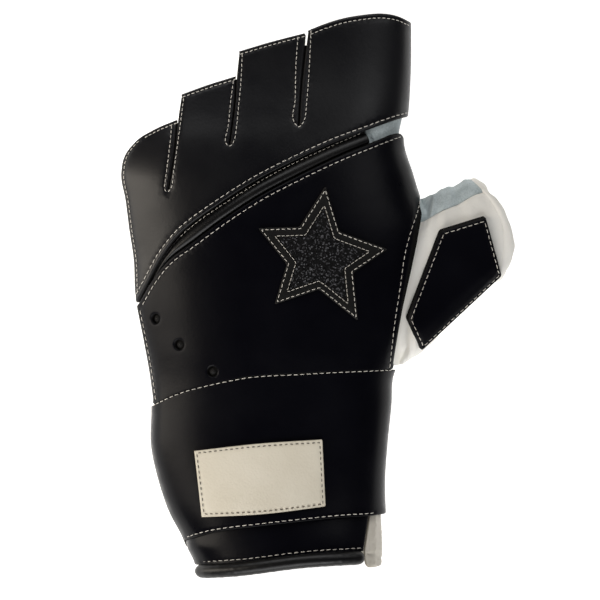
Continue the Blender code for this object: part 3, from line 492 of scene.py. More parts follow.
def leather(name, outline, material, thickness, outer=0.0, place=wrap, holes=(), step=0.0007,
            middle=0.0019, rounding=0.36, grooves=(), relief=None, flush=None, node=None):
    """A cut piece: a rounded upper corner, a raw side, and a furrow under each seam.

    The corner is a quarter circle whose radius is the rounding times the thickness, left
    square along a flush line. A furrow is a bell curve across the seam, deeper at the holes
    than between them.
    """
    flat, triangles, gap = flat_net(outline, holes, step, middle)
    radius = thickness * rounding
    near = np.clip(1 - gap / radius, 0, 1)
    dip = radius * (1 - np.sqrt(1 - near**2))
    if flush is not None:
        dip *= np.clip(distance_to(flat, flush)[0] / 0.002 - 0.5, 0.1, 1)
    furrow = np.zeros(len(flat))
    for line, deep in grooves:
        far, along = distance_to(flat, line)
        pull = 0.75 + 0.25 * np.cos(2 * np.pi * along / STITCH)
        furrow = np.maximum(furrow, deep * pull * np.exp(-(far / FURROW_REACH) ** 2))
    swell = relief(flat[:, 0], flat[:, 1], gap) if relief else 0.0
    top = place(flat[:, 0], flat[:, 1], outer + dip + furrow - swell)
    low = place(flat[:, 0], flat[:, 1], np.full(len(flat), outer + thickness))
    # The raw side joins the two along every border edge of the net.
    sides = np.vstack([triangles[:, [0, 1]], triangles[:, [1, 2]], triangles[:, [2, 0]]])
    code = sides[:, 0] * len(flat) + sides[:, 1]
    border = sides[~np.isin(code, sides[:, 1] * len(flat) + sides[:, 0])]
    count = len(flat)
    wall = np.vstack([
        np.stack([border[:, 1], border[:, 0], border[:, 0] + count], axis=1),
        np.stack([border[:, 1], border[:, 0] + count, border[:, 1] + count], axis=1)])
    faces = np.vstack([triangles, triangles[:, ::-1] + count, wall])
    mesh = bpy.data.meshes.new(name)
    mesh.from_pydata(np.vstack([top, low]).tolist(), [], faces.tolist())
    raw_share(mesh, np.concatenate([np.clip(1 - gap / (radius * 0.45), 0, 1), np.ones(count)]))
    return new_piece(name, mesh, material, node, sharp=50)


# %% [markdown]
# ## Pieces on a grid
#
# Rolls, tubes and strips have no flat outline worth drawing. Each is a ring carried along a
# path, so its points make a grid: rows along the path, columns round the ring. Sweeping a
# Blender curve would do for a round cord, but here each ring has its own shape.

# %% Grids


def grid_mesh(name, points, caps=None):
    """A mesh over rings of points, with its faces turned outwards.

    Each face joins two neighbours of a ring with the same two of the next. Disc caps close
    the first and last ring with one face, strip caps with a ladder from skin to skin.
    """
    number = np.arange(points[..., 0].size).reshape(points.shape[:2])
    turned = np.roll(number, -1, axis=1)
    faces = np.stack([number[:-1], turned[:-1], turned[1:], number[1:]], axis=-1)
    faces = faces.reshape(-1, 4).tolist()
    if caps == "strip":
        columns = number.shape[1]
        at = np.arange(columns // 2 - 1)
        ends = np.stack([at, at + 1, columns - 2 - at, columns - 1 - at], axis=-1)
        faces += ends.tolist() + (ends[:, ::-1] + number[-1, 0]).tolist()
    elif caps == "disc":
        faces += [number[0, ::-1].tolist(), number[-1].tolist()]
    mesh = bpy.data.meshes.new(name)
    mesh.from_pydata(points.reshape(-1, 3).tolist(), [], faces)
    work = bmesh.new()
    work.from_mesh(mesh)
    bmesh.ops.recalc_face_normals(work, faces=work.faces)
    work.to_mesh(mesh)
    work.free()
    return mesh


def grid_piece(name, points, material, node=None, caps=None, raw=0.0):
    """A piece over rings of points."""
    mesh = grid_mesh(name, points, caps)
    raw_share(mesh, np.full(len(mesh.vertices), raw))
    return new_piece(name, mesh, material, node, sharp=60)


def strip_piece(name, outer, inner, material, slot, node=None, raw=0.0):
    """A strip with thickness: its outer and inner skins joined into rings, its ends closed."""
    rings = np.concatenate([outer, inner[:, ::-1]], axis=1)
    return grid_piece(name, rings, material, node, "strip", raw)


# %% [markdown]
# ## Stitches
#
# A lockstitch shows as a row of short threads, each lying on the leather between two holes.
# One thread is a thin capsule bent over the leather, and the row is all of them at once. Copies
# of one capsule would be lighter, but then none could bend with the leather or lie askew.

# %% Threads
STITCH = 0.00276          # from one hole to the next in the heavy seams
FINE_STITCH = 0.00208     # and round the fingers
THREAD = 0.00029          # thickness of the thread
stitch_parts = {}


def stitches(node, line, depth=0.0, place=wrap, pitch=STITCH, thread=THREAD, fill=0.68):
    """A row of threads along a line: capsules whose middles rise and whose ends go in.

    A point of a thread is its place along the line, plus a ring of its radius across the
    run. The radius shrinks at both ends as a circle does, and the height is a flat arch.
    """
    fine = even_steps(line, 0.0002)
    path = place(*fine.T, np.full(len(fine), depth))
    up = path - place(*fine.T, np.full(len(fine), depth + 0.001))
    run = run_along(path)
    count = max(int(round(run[-1] / pitch)), 1)
    rng = np.random.default_rng(len(fine))
    middle = (np.arange(count) + 0.5) * run[-1] / count
    share = np.linspace(-1, 1, 9)
    angle = np.arange(6) * np.pi / 3
    at = middle[:, None] + share * run[-1] / count * fill / 2
    spots = read_line(path, run, at)
    normal = unit(read_line(up, run, at))
    ahead = unit(np.gradient(spots, axis=1))
    across = np.cross(ahead, normal)
    slant = rng.normal(0, 0.00006, (count, 1)) * share
    radius = thread / 2 * np.sqrt(1 - 0.92 * share**6) * rng.normal(1, 0.05, (count, 1))
    height = thread * (0.34 - 0.62 * share**4)
    centre = spots + normal * height[..., None] + across * slant[..., None]
    ring = (across[:, :, None] * np.cos(angle)[:, None]
            + normal[:, :, None] * np.sin(angle)[:, None])
    points = centre[:, :, None] + ring * radius[:, :, None, None]
    number = np.arange(points[..., 0].size).reshape(points.shape[:3])
    turned = np.roll(number, -1, axis=2)
    quads = np.stack([number[:, :-1], turned[:, :-1], turned[:, 1:], number[:, 1:]], axis=-1)
    ends = np.concatenate([number[:, 0, ::-1], number[:, -1]])
    stitch_parts.setdefault(node, []).append((points.reshape(-1, 3), quads.reshape(-1, 4), ends))


def finish_stitches():
    """Join each piece's rows of threads into one piece: brown on the label, else off-white."""
    for node, rows in stitch_parts.items():
        points, faces, first = [], [], 0
        for spots, quads, ends in rows:
            points.append(spots)
            faces += (quads + first).tolist() + (ends + first).tolist()
            first += len(spots)
        name = node + "_stitches"
        mesh = bpy.data.meshes.new(name)
        mesh.from_pydata(np.vstack(points).tolist(), [], faces)
        if node == "label_patch":
            new_piece(name, mesh, BROWN_THREAD)
        else:
            new_piece(name, mesh, THREAD_FINISH)


print("thread", THREAD * 1000, "mm, stitches", FINE_STITCH * 1000, "and", STITCH * 1000, "mm")

# %% [markdown]
# ## The finishes
#
# Black upholstery-grade leather: dyed right through, rolled smooth and waxed. The wax gives a
# soft sheen with a fine grain in it, and the raw edge stays matt and a little brown. The soft
# leather is alum white and dull, and suede is the same hide split, so its face is a nap
# without gloss. A photographed texture could show all this, but patterns worked out on Object
# coordinates have no seams, and their scale is a real size: the number of grains to a metre.

# %% Colours and nodes


def linear(code):
    """A hex colour as linear red, green, blue and alpha: the sRGB curve undone."""
    shares = [int(code[n:n + 2], 16) / 255 for n in (1, 3, 5)]
    return (*[v / 12.92 if v <= 0.04045 else ((v + 0.055) / 1.055) ** 2.4 for v in shares], 1.0)


def add(tree, kind, settings=None, **links):
    """Add a node: settings go on it, and links give each input a socket or a value."""
    made = tree.nodes.new(kind)
    for key, value in (settings or {}).items():
        setattr(made, key, value)
    for key, value in links.items():
        spot = made.inputs[int(key[1:]) if key[1:].isdigit() else key.replace("_", " ")]
        if isinstance(value, bpy.types.NodeSocket):
            tree.links.new(value, spot)
        else:
            spot.default_value = value
    return made


def start_material(name, **constants):
    """A material whose constants sit on the shader's own sockets."""
    material = bpy.data.materials.new(name)
    material.use_nodes = True
    shader = material.node_tree.nodes["Principled BSDF"]
    for key, value in constants.items():
        shader.inputs[key.replace("_", " ")].default_value = value
    return material, material.node_tree, shader


COLOUR = {"data_type": "RGBA"}


def smooth_leather(name, body, bloom, raw, rough, grain, depth, specular):
    """Rolled leather: pebbles of the grain, a finer tooth in them, and a duller raw edge.

    The wax clouds the body colour to the bloom in patches about 26 mm across, 38 to a metre.
    """
    material, tree, shader = start_material(name, Specular_IOR_Level=specular)
    place = add(tree, "ShaderNodeTexCoord").outputs["Object"]
    # Real pebbles are about half as wide: these are drawn as coarse as they need to show.
    pebbles = add(tree, "ShaderNodeTexVoronoi", {"feature": "SMOOTH_F1"}, Vector=place,
                  Scale=grain, Smoothness=0.6).outputs["Distance"]
    tooth = add(tree, "ShaderNodeTexNoise", None, Vector=place, Scale=grain * 2.5,
                Detail=3.0).outputs[0]
    drift = add(tree, "ShaderNodeTexNoise", None, Vector=place, Scale=38.0,
                Detail=4.0).outputs[0]
    edge = add(tree, "ShaderNodeAttribute", {"attribute_name": "raw"}).outputs["Fac"]
    cloud = add(tree, "ShaderNodeMapRange", None, Value=drift, From_Min=0.35, From_Max=0.7)
    hide = add(tree, "ShaderNodeMix", COLOUR, i0=cloud.outputs[0], i6=linear(body),
               i7=linear(bloom))
    cut = add(tree, "ShaderNodeMix", COLOUR, i0=edge, i6=hide.outputs[2], i7=linear(raw))
    tree.links.new(cut.outputs[2], shader.inputs["Base Color"])
    dull = add(tree, "ShaderNodeMapRange", None, Value=drift, From_Min=0.3, From_Max=0.7,
               To_Min=rough - 0.04, To_Max=rough + 0.06)
    matt = add(tree, "ShaderNodeMix", None, i0=edge, i2=dull.outputs[0], i3=0.8)
    tree.links.new(matt.outputs[0], shader.inputs["Roughness"])
    coarse = add(tree, "ShaderNodeBump", None, Strength=depth, Distance=0.0003, Height=pebbles)
    fine = add(tree, "ShaderNodeBump", None, Strength=depth * 0.5, Distance=0.0001,
               Height=tooth, Normal=coarse.outputs[0])
    wave = add(tree, "ShaderNodeBump", None, Strength=0.12, Distance=0.002, Height=drift,
               Normal=fine.outputs[0])
    tree.links.new(wave.outputs[0], shader.inputs["Normal"])
    return material


def napped_suede(name, body, bloom):
    """Split leather: short fibres in brushed patches, lighter where the nap stands up.

    Fibres are 0.7 mm long and patches 5 mm across: 1500 and 210 to a metre.
    """
    material, tree, shader = start_material(name, Roughness=0.95, Specular_IOR_Level=0.15,
                                            Sheen_Weight=0.25, Sheen_Roughness=0.6)
    place = add(tree, "ShaderNodeTexCoord").outputs["Object"]
    fibres = add(tree, "ShaderNodeTexNoise", None, Vector=place, Scale=1500.0, Detail=4.0)
    patches = add(tree, "ShaderNodeTexNoise", None, Vector=place, Scale=210.0, Detail=3.0)
    both = add(tree, "ShaderNodeMath", {"operation": "ADD"}, i0=fibres.outputs[0],
               i1=patches.outputs[0]).outputs[0]
    lit = add(tree, "ShaderNodeMapRange", None, Value=both, From_Min=0.75, From_Max=1.25)
    colour = add(tree, "ShaderNodeMix", COLOUR, i0=lit.outputs[0], i6=linear(body),
                 i7=linear(bloom))
    tree.links.new(colour.outputs[2], shader.inputs["Base Color"])
    nap = add(tree, "ShaderNodeBump", None, Strength=0.5, Distance=0.0002, Height=both)
    tree.links.new(nap.outputs[0], shader.inputs["Normal"])
    return material


def gritty_rubber(name):
    """Grit set in black binder: each grain has its own facet, and a few have painted glints.

    Grains are half a millimetre wide: 1900 to a metre.
    """
    material, tree, shader = start_material(name, Specular_IOR_Level=0.2)
    place = add(tree, "ShaderNodeTexCoord").outputs["Object"]
    grains = add(tree, "ShaderNodeTexVoronoi", None, Vector=place, Scale=1900.0)
    tone = add(tree, "ShaderNodeSeparateColor", None, Color=grains.outputs["Color"]).outputs[0]
    # The glossier grains are painted pale grey as glints, as if they caught the light.
    painted_glint = add(tree, "ShaderNodeMapRange", None, Value=tone, From_Min=0.78, From_Max=1.06)
    colour = add(tree, "ShaderNodeMix", COLOUR, i0=painted_glint.outputs[0], i6=linear("#040405"),
                 i7=linear("#6C6C70"))
    tree.links.new(colour.outputs[2], shader.inputs["Base Color"])
    gloss = add(tree, "ShaderNodeMapRange", None, Value=tone, To_Min=0.7, To_Max=0.3)
    tree.links.new(gloss.outputs[0], shader.inputs["Roughness"])
    bump = add(tree, "ShaderNodeBump", None, Strength=1.0, Distance=0.0006, Height=tone)
    tree.links.new(bump.outputs[0], shader.inputs["Normal"])
    return material


def spun_thread(name, colour):
    """Waxed polyester thread: pale, with the faint mottling of its strands, 2200 to a metre."""
    material, tree, shader = start_material(name, Roughness=0.6, Sheen_Weight=0.2)
    place = add(tree, "ShaderNodeTexCoord").outputs["Object"]
    strands = add(tree, "ShaderNodeTexNoise", None, Vector=place, Scale=2200.0, Detail=2.0)
    darker = [v * 0.72 for v in linear(colour)[:3]] + [1.0]
    mottled = add(tree, "ShaderNodeMix", COLOUR, i0=strands.outputs[0], i6=darker,
                  i7=linear(colour))
    tree.links.new(mottled.outputs[2], shader.inputs["Base Color"])
    return material


# body, bloom and raw edge, then roughness, pebbles to a metre, their depth, specular level.
# The finger plate is a little more burnished than the other black leather.
BURNISHED = smooth_leather("burnished_black_leather", "#05050A", "#09090D", "#100E0D",
                           0.34, 950.0, 0.06, 0.36)
BLACK = smooth_leather("waxed_black_leather", "#040409", "#06060C", "#0C0B0A",
                       0.31, 950.0, 0.06, 0.13)
GLOSSY = smooth_leather("glossy_black_nappa", "#060608", "#0B0A09", "#0E0C0B",
                        0.36, 900.0, 0.07, 0.36)
BORDER = smooth_leather("worn_black_leather", "#0A0A0A", "#100F0E", "#24211D",
                        0.5, 1100.0, 0.2, 0.24)
WHITE = smooth_leather("alum_white_leather", "#ECE9E2", "#F3F1EB", "#D8D2C6",
                       0.62, 800.0, 0.3, 0.3)
WORN_WHITE = smooth_leather("worn_white_leather", "#BDB7AB", "#D6D0C5", "#968E7F",
                            0.62, 800.0, 0.4, 0.3)
CREAM = smooth_leather("cream_label_leather", "#DAD2C0", "#E5DECE", "#A59A85",
                       0.6, 1000.0, 0.25, 0.35)
GREY = napped_suede("blue_grey_suede", "#A3AFB2", "#C3CDCF")
GRIT = gritty_rubber("grit_in_black_binder")
THREAD_FINISH = spun_thread("off_white_thread", "#F2ECE1")
BROWN_THREAD = spun_thread("brown_thread", "#4A3E30")
print("finishes:", sorted(m.name for m in bpy.data.materials))

# %% [markdown]
# ## The finger plate
#
# One plate of 2 mm leather covers all four fingers, slit between them, with a row of fine
# stitches beside each edge. Four separate plates would be simpler, but on the real glove the
# plate is one, and the seams turn round at the end of each slit.

# %% Finger plate
SIDE_SEAM = 0.0015        # from the glove's left side, as seen from above, to the seam
TIP_SEAMS = (0.0013, 0.0013, 0.0013, 0.0019)      # from each fingertip to its seam


def inside_left(y, inset, samples=401):
    """Where a line lies in the flat to be seen this far inside the form's left side."""
    y = np.atleast_1d(y)
    x = plate_left(y)[:, None] + np.linspace(0, 0.02, samples)
    seen = wrap(x, y[:, None] + 0 * x, 0 * x)[..., 0]
    past = seen > seen.min(axis=1)[:, None] + inset
    past &= np.arange(samples) > seen.argmin(axis=1)[:, None]
    return x[np.arange(len(y)), past.argmax(axis=1)]


slit_seams = [mm_line(rows, 6) for rows in (
    ((-56.4, 83.0), (-58.0, 70.3), (-59.5, 59.2), (-60.8, 50.0), (-61.4, 45.5), (-63.0, 43.4),
     (-64.4, 44.9), (-63.6, 51.5), (-62.3, 62.0), (-61.4, 71.5)),
    ((-31.8, 101.7), (-32.4, 89.4), (-33.3, 79.5), (-34.3, 69.7), (-35.2, 64.8), (-37.1, 62.5),
     (-38.9, 64.8), (-37.6, 71.5), (-36.7, 80.8), (-35.5, 90.3)),
    ((-2.9, 111.6), (-3.8, 93.1), (-4.7, 81.4), (-5.6, 73.9), (-8.2, 70.6), (-10.6, 74.6),
     (-9.6, 82.0), (-9.3, 96.2), (-8.4, 108.8)),
)]
tip_seams = [to_the_left(share_line(rows, 6), -inset) for rows, inset in zip(TIPS, TIP_SEAMS)]
knuckle_upper = knuckle_edge(1, 0.0018)
knuckle_upper = knuckle_upper[(knuckle_upper[:, 1] > 0.0) & (knuckle_upper[:, 0] < 0.0383)]
left_seam = down_an_edge(0.001, 0.0650, lambda y: inside_left(y, SIDE_SEAM))
finger_seams = slit_seams + tip_seams + [knuckle_upper, left_seam]
leather("fine_finger_plate", finger_outline(), BURNISHED, PLATE,
        grooves=[(line, FURROW) for line in finger_seams], node="finger_plate")
for line in finger_seams:
    stitches("finger_plate", line, pitch=STITCH if line is knuckle_upper else FINE_STITCH)

# %% [markdown]
# ## The hand plate
#
# The back of the hand is a second plate, with three vent holes near its left edge. Its thick
# side stands free over the thumb's root, so there the side leans out. The holes are loops in
# the flat outline: cutting them with booleans would leave no rows of points for their rims.

# %% Hand plate
VENTS = ((-0.830, -0.084), (-0.709, -0.176), (-0.539, -0.271))
VENT_RADIUS = 0.0021


def vent(across, along, radius=VENT_RADIUS):
    """A round hole in the leather, narrower seen from above where the form slopes."""
    x, y = across * HALF_WIDTH, along * HALF_LENGTH
    ends = wrap(np.array([x - 0.0002, x + 0.0002]), np.array([y, y]), 0.0)
    narrow = 0.0004 / np.linalg.norm(ends[1] - ends[0])
    turn = turns(32)
    return np.stack([x + narrow * radius * np.cos(turn), y + radius * np.sin(turn)], axis=1)


knuckle_lower = knuckle_edge(-1, 0.0019)
knuckle_lower = knuckle_lower[(knuckle_lower[:, 1] > -0.0055) & (knuckle_lower[:, 0] < 0.0352)]
hand_left = down_an_edge(-0.0060, -0.0445, lambda y: inside_left(y, SIDE_SEAM))
THUMB_EDGE = 0.0405       # along, where the plate's free edge over the thumb begins
hand_right = mm_line(((37.0, 64.5), (40.0, 55.0), (42.6, 46.0), (42.9, 40.5), (41.8, 34.9),
                      (39.0, 26.6), (36.4, 16.6), (34.3, 1.9), (32.3, -11.1), (30.6, -25.8),
                      (30.1, -31.0)))
hand_right = hand_right[hand_right[:, 1] < THUMB_EDGE]
hand_seams = [knuckle_lower, hand_left, hand_right]


def on_hand(x, y, depth):
    """The form, with the thick side of the right edge leaning out over the thumb's root."""
    point = wrap(x, y, depth)
    lean = np.interp(y, (-0.03, -0.005, 0.022, 0.034, THUMB_EDGE), (0.4, 0.7, 1.5, 1.6, 0.4))
    near = np.clip((x - plate_right(y) + 0.0006) / 0.0006, 0, 1) * (y < THUMB_EDGE)
    point[..., 0] += near * lean * np.clip(depth, 0, PLATE)
    return point


leather("fine_hand_plate", hand_outline(), BLACK, PLATE,
        holes=[vent(*place) for place in VENTS], place=on_hand,
        grooves=[(line, FURROW) for line in hand_seams], flush=share_line(WRIST_SEAM),
        node="hand_plate")
for line in hand_seams:
    stitches("hand_plate", line)

# %% [markdown]
# ## Linings
#
# Through the vents, the slits and the wrist seam one sees dark leather, never the inside of
# the glove. A small dome of soft leather closes each vent, and a thin black strip lies under
# each slit. Painting the openings dark would be quicker, but would show from the side.

# %% Lining under the vents
VENT_LINING = 0.0036      # radius of a vent's lining
# share of that radius, depth under the plate's face: flat, then up into the hole as a dome
VENT_DOME = ((1.0, PLATE + 0.0001), (0.56, PLATE + 0.0001), (0.34, PLATE - 0.0009),
             (0.02, PLATE - 0.0013))
for number, place in enumerate(VENTS, start=1):
    ring = vent(*place, radius=VENT_LINING)
    middle = ring.mean(axis=0)
    rings = [wrap(*(middle + (ring - middle) * share).T, np.full(len(ring), deep))
             for share, deep in VENT_DOME]
    grid_piece(f"vent_lining_{number}", np.stack(rings), GLOSSY, raw=0.8)

# %% Strips under the slits
LINING = (-0.0014, -0.0006, 0.0006, 0.0014)       # across a strip
LINING_THICKNESS = 0.0006
LINING_STARTS = (0.0012, 0.0012, 0.0035)          # from each shorter fingertip to its strip


def lining_strip(name, line, deep):
    """A thin black strip under a line, this deep below the leather's face."""
    strip = np.stack([to_the_left(line, offset) for offset in LINING], axis=1)
    skins = [wrap(strip[..., 0], strip[..., 1], np.full(strip.shape[:2], down))
             for down in (deep, deep + LINING_THICKNESS)]
    strip_piece(name, *skins, BLACK, "black_leather", raw=0.9)


for number, (rows, tip, start) in enumerate(zip(SLITS, TIPS, LINING_STARTS), start=1):
    line = share_line(rows)
    line = np.vstack([line[line[:, 1] < share_line(tip)[-1, 1] - start],
                      line[-1] + (line[-1] - line[-3])])
    lining_strip(f"slit_lining_{number}", line, PLATE + 0.0001)

# %% [markdown]
# ## The cuff
#
# The third plate meets the hand plate edge to edge at the wrist, where one seam holds both,
# and turns down at both sides. Both plates could be cut from one outline, but the joint is
# the line where the real glove bends, so the two share a line and each has its own edge.

# %% Cuff
line = share_line(WRIST_SEAM)
line = line[(line[:, 0] > plate_left(line[:, 1]) - 0.0002)
            & (line[:, 0] < plate_right(line[:, 1]) + 0.0002)]
lining_strip("wrist_lining", line, 0.0005)
hem_seam = share_line(CUFF_HEM) + (0, 0.0011)
hem_seam = hem_seam[(hem_seam[:, 0] > -0.0553) & (hem_seam[:, 0] < 0.0245)]
wrist_seam = share_line(WRIST_SEAM[1:-1]) - (0, 0.0003)
leather("fine_cuff_plate", cuff_outline(), BLACK, PLATE,
        grooves=[(hem_seam, FURROW)], flush=share_line(WRIST_SEAM), node="cuff_plate")
stitches("cuff_plate", hem_seam)
stitches("cuff_plate", wrist_seam, -0.00012)

# %% [markdown]
# ## The star
#
# A thin leather border is sewn on the hand plate, with a gritty star in its window. It was
# cut by hand, so its five tips differ in angle and reach, and each is a row of a table. A
# regular star from a formula would look stamped.

# %% Star
STAR_CENTRE = (0.00107, 0.01564)
STAR_RADIUS = 0.0273
STAR_LEATHER = 0.0008
STAR_INLAY = 0.0005
# tip angle, tip reach, hollow angle, hollow reach, clockwise from the top
STAR = (
    (86.3, 1.04, 55.1, 0.465), (7.3, 0.97, -24.3, 0.517), (-59.6, 1.06, -93.3, 0.460),
    (-134.5, 0.95, -169.3, 0.498), (-205.3, 1.00, -235.5, 0.541),
)


def star(scale, blunt=0.06):
    """The star as a closed line: straight sides between tips and hollows, blunt at each."""
    turns = np.radians([[row[0], row[2]] for row in STAR]).ravel()
    reach = np.array([[row[1], row[3]] for row in STAR]).ravel() * scale * STAR_RADIUS
    corners = np.stack([reach * np.cos(turns), reach * np.sin(turns)], axis=1) + STAR_CENTRE
    before, after = np.roll(corners, 1, axis=0), np.roll(corners, -1, axis=0)
    soft = [corners * (1 - blunt) + side * blunt for side in (before, after)]
    middle = corners * (1 - blunt * 0.9) + (before + after) * blunt * 0.45
    return np.stack([soft[0], middle, soft[1]], axis=1).reshape(-1, 2)


star_seat = -LAYER - STAR_LEATHER
leather("fine_star_border", star(1.06, 0.03), BORDER, STAR_LEATHER, star_seat,
        holes=[star(0.745)], step=0.0005, middle=0.0012, node="star_border",
        grooves=[(closed_line(star(1.0, 0.02)), 0.00018)])
leather("fine_star_inlay", star(0.735), GRIT, STAR_INLAY, -LAYER - STAR_INLAY,
        step=0.0006, middle=0.0008, node="star_inlay",
        relief=lambda x, y, gap: np.random.default_rng(4).normal(0.00005, 0.00006, len(x)))
stitches("star_border", closed_line(star(1.0, 0.01)), star_seat, pitch=0.0023, thread=0.00028)
stitches("star_window", closed_line(star(0.775, 0.03)), star_seat, pitch=0.0019,
         thread=0.00022, fill=0.8)

# %% [markdown]
# ## The label
#
# A pale patch of firm leather sits on the cuff, sewn round with thick brown thread. It is left
# plain. Its seam is the outline drawn in towards the middle, a little more across than along.

# %% Label
LABEL = 0.0010
LABEL_OUTLINE = (
    (-0.628, -0.552), (-0.306, -0.526), (0.020, -0.511), (0.036, -0.748), (-0.273, -0.775),
    (-0.588, -0.787),
)
LABEL_SEAM = (0.956, 0.918)       # share of the outline, across and along
label_line = np.vstack([share_line(LABEL_OUTLINE[:3]), share_line(LABEL_OUTLINE[3:])])
label_centre = label_line.mean(axis=0)
label_seam = closed_line(label_centre + (label_line - label_centre) * LABEL_SEAM)
leather("fine_label", label_line, CREAM, LABEL, -LAYER - LABEL,
        node="label_patch", grooves=[(label_seam, 0.0002)], middle=0.0025)
stitches("label_patch", even_steps(label_seam, 0.001), -LAYER - LABEL, pitch=0.0023,
         thread=0.00036, fill=0.55)

# %% [markdown]
# ## Between the plates
#
# Over the knuckles the plates stop short of each other, and a padded roll of thin glossy
# leather swells up in the gap so that the fist can close. Its section is worked out from edge
# to edge at 260 places, because a tube would have one width, and the gap has not.

# %% Knuckle roll
ROLL = 0.0014
ROLL_END = 0.240 * HALF_WIDTH
ROLL_LAP = 0.0034         # how far the roll runs on under each plate
ROLL_RISE = 0.0023
under = PLATE + LAYER
low_edge, high_edge = knuckle_edge(-1), knuckle_edge(1)
under_low, under_high = knuckle_edge(-1, ROLL_LAP), knuckle_edge(1, ROLL_LAP)
first = int(np.argmax(high_edge[:, 0] > plate_left(high_edge[:, 1]) + 0.0048))
last = int(np.searchsorted(high_edge[:, 0], ROLL_END))
steps = np.linspace(first, last, 260)
rails = [read_line(line, np.arange(len(line)), steps)
         for line in (under_low, low_edge, high_edge, under_high)]
across = np.concatenate([np.linspace(0, 1, 5)[:-1], np.linspace(1, 2, 25),
                         np.linspace(2, 3, 5)[1:]])
place = np.stack([[np.interp(across, (0, 1, 2, 3), [r[n, k] for r in rails]) for k in (0, 1)]
                  for n in range(len(steps))])
swell = np.clip(across - 1, 0, 1)
width = np.linalg.norm(rails[2] - rails[1], axis=1)[:, None]
# A flat sewn flange by the finger plate, a furrow at its seam, then the padded swell.
bulge = np.clip((0.80 - swell) / 0.80, 0, 1)
rise = np.sin(bulge * np.pi) ** 0.5 * np.minimum(ROLL_RISE, width * 0.48)
flange = 0.0005 * np.exp(-((swell - 0.90) / 0.08) ** 2)
run = np.cumsum(np.full(len(steps), 0.00045))[:, None]
puckers = 0.00010 * np.sin(2 * np.pi * run / STITCH) * np.exp(-((swell - 0.78) / 0.10) ** 2)
depth = under - (rise + flange + puckers) * (across > 1) * (across < 2)
outer_skin = wrap(place[:, 0], place[:, 1], depth)
inner_skin = wrap(place[:, 0], place[:, 1], np.full_like(depth, under + ROLL))
roll = strip_piece("fine_knuckle_roll", outer_skin, inner_skin, GLOSSY, "black_leather",
                   "knuckle_roll")
roll_seam = mm_line(((-58.5, 24.3), (-55.5, 27.0), (-48.4, 32.5), (-38.6, 38.9), (-26.2, 46.6),
                     (-12.6, 54.0), (5.0, 62.1), (18.6, 68.0)))
stitches("knuckle_roll", roll_seam, under - 0.0006, pitch=FINE_STITCH)

# %% [markdown]
# ## The suede at the index finger
#
# The roll stops short of the index finger, where the gap shows grey suede, puckered because it
# is held along both edges. Cloth simulation could give the puckers; a low sine wave across
# the piece is enough for three of them.

# %% Index suede
low_line, high_line = under_low[last:], under_high[last:]
start = np.array([low_line[0], high_line[0]]) + (0.00045, 0)


def hidden_right(y):
    """Where a thin piece stops above the palm's right wall."""
    return form_section(y)[1] + WALL_TOP - 0.0009


low_line, high_line = (line[1:][line[1:, 0] < hidden_right(line[1:, 1]) - 0.001]
                       for line in (low_line, high_line))
end = down_an_edge(low_line[-1, 1], high_line[-1, 1], hidden_right, 8)
leather("fine_index_gusset", np.vstack([start[:1], low_line, end, high_line[::-1], start[1:]]),
        GREY, SUEDE, under, node="index_gusset", step=0.0006, middle=0.0012,
        relief=lambda x, y, gap: 0.0006 * np.sin((x - 0.02) * 260) * (gap > 0.002) * (x < 0.034))

# %% [markdown]
# ## The wristband and its tab
#
# Below the cuff lies a thinner band, and beside it a pale tab of worn leather. Both come out
# from under the cuff. Their dents could be sculpted, but a few bell curves added to the flat
# pattern say where each one is, and can be moved.

# %% Band
band_hem = share_line(CUFF_HEM) + (0, 0.0065)
band_end = share_line(BAND_END)[::-1]
band_side = share_line(BAND_RIGHT, 2)
band_left = down_an_edge(band_end[-1, 1], band_hem[0, 1],
                         lambda y: form_section(y)[0] - WALL_TOP + 0.0009)


def band_swell(x, y, gap):
    """The band bulges at its lower left: a bell along, a soft step across."""
    return 0.0019 * np.exp(-((y + 0.1060) / 0.0050) ** 2) / (1 + np.exp((x + 0.046) / 0.0035))


leather("fine_wristband", np.vstack([between(band_hem, band_left[-1, 0], band_side[0, 0]),
                                     band_side,
                                     between(band_end, band_left[0, 0], band_side[-1, 0]),
                                     band_left]),
        BLACK, BAND, under, node="wristband", middle=0.0016, relief=band_swell,
        grooves=[(mm_line(((-50.4, -112.2), (-29.1, -110.6), (-9.9, -108.2), (20.2, -106.3))),
                  0.0002)])
stitches("wristband", mm_line(((-50.4, -112.1), (-38.8, -111.3), (-29.1, -110.5), (-9.9, -108.1),
                               (1.4, -107.1), (19.7, -106.2))), under)

# %% Tab
tab_seam = band_side + (0.0006, 0)
tab_end = share_line(TAB_END, 6)[::-1]
tab_right = down_an_edge(band_hem[-1, 1], tab_end[0, 1] + 0.001,
                         lambda y: hidden_right(y) + 0.0026, 12)


def tab_dents(x, y, gap):
    """A welt down the tab, a crease beside it and one across it, and a fine cockle all over."""
    welt = 0.0010 * np.exp(-((x - 0.0254 - 0.03 * (y + 0.1)) / 0.0012) ** 2)
    down = 0.0007 * np.exp(-((x - 0.0279 - 0.03 * (y + 0.1)) / 0.0004) ** 2)
    over = 0.0007 * np.exp(-((y + 0.1095 + 0.2 * (x - 0.026)) / 0.0007) ** 2)
    cockle = 0.00016 * np.sin(x * 5200 + 3 * np.sin(y * 260))
    return (welt - down - over + cockle) * np.clip(gap / 0.0012, 0, 1)


leather("fine_wrist_tab", np.vstack([between(band_hem, tab_seam[0, 0], tab_right[0, 0]),
                                     tab_right, tab_end, tab_seam[::-1]]),
        WORN_WHITE, BAND, under, node="wrist_tab", middle=0.0015,
        relief=tab_dents)
stitches("wrist_tab", tab_right[2:-1] - (0.0022, 0), under, pitch=0.0024)

# %% [markdown]
# ## The binding
#
# The band's lower edge is bound: a strip of soft leather rolled round it, a little uneven
# because it was turned by hand. It is a ring carried along the edge, whose radius closes at
# both ends. A curve with a bevel would be as round, but as even as a hose.

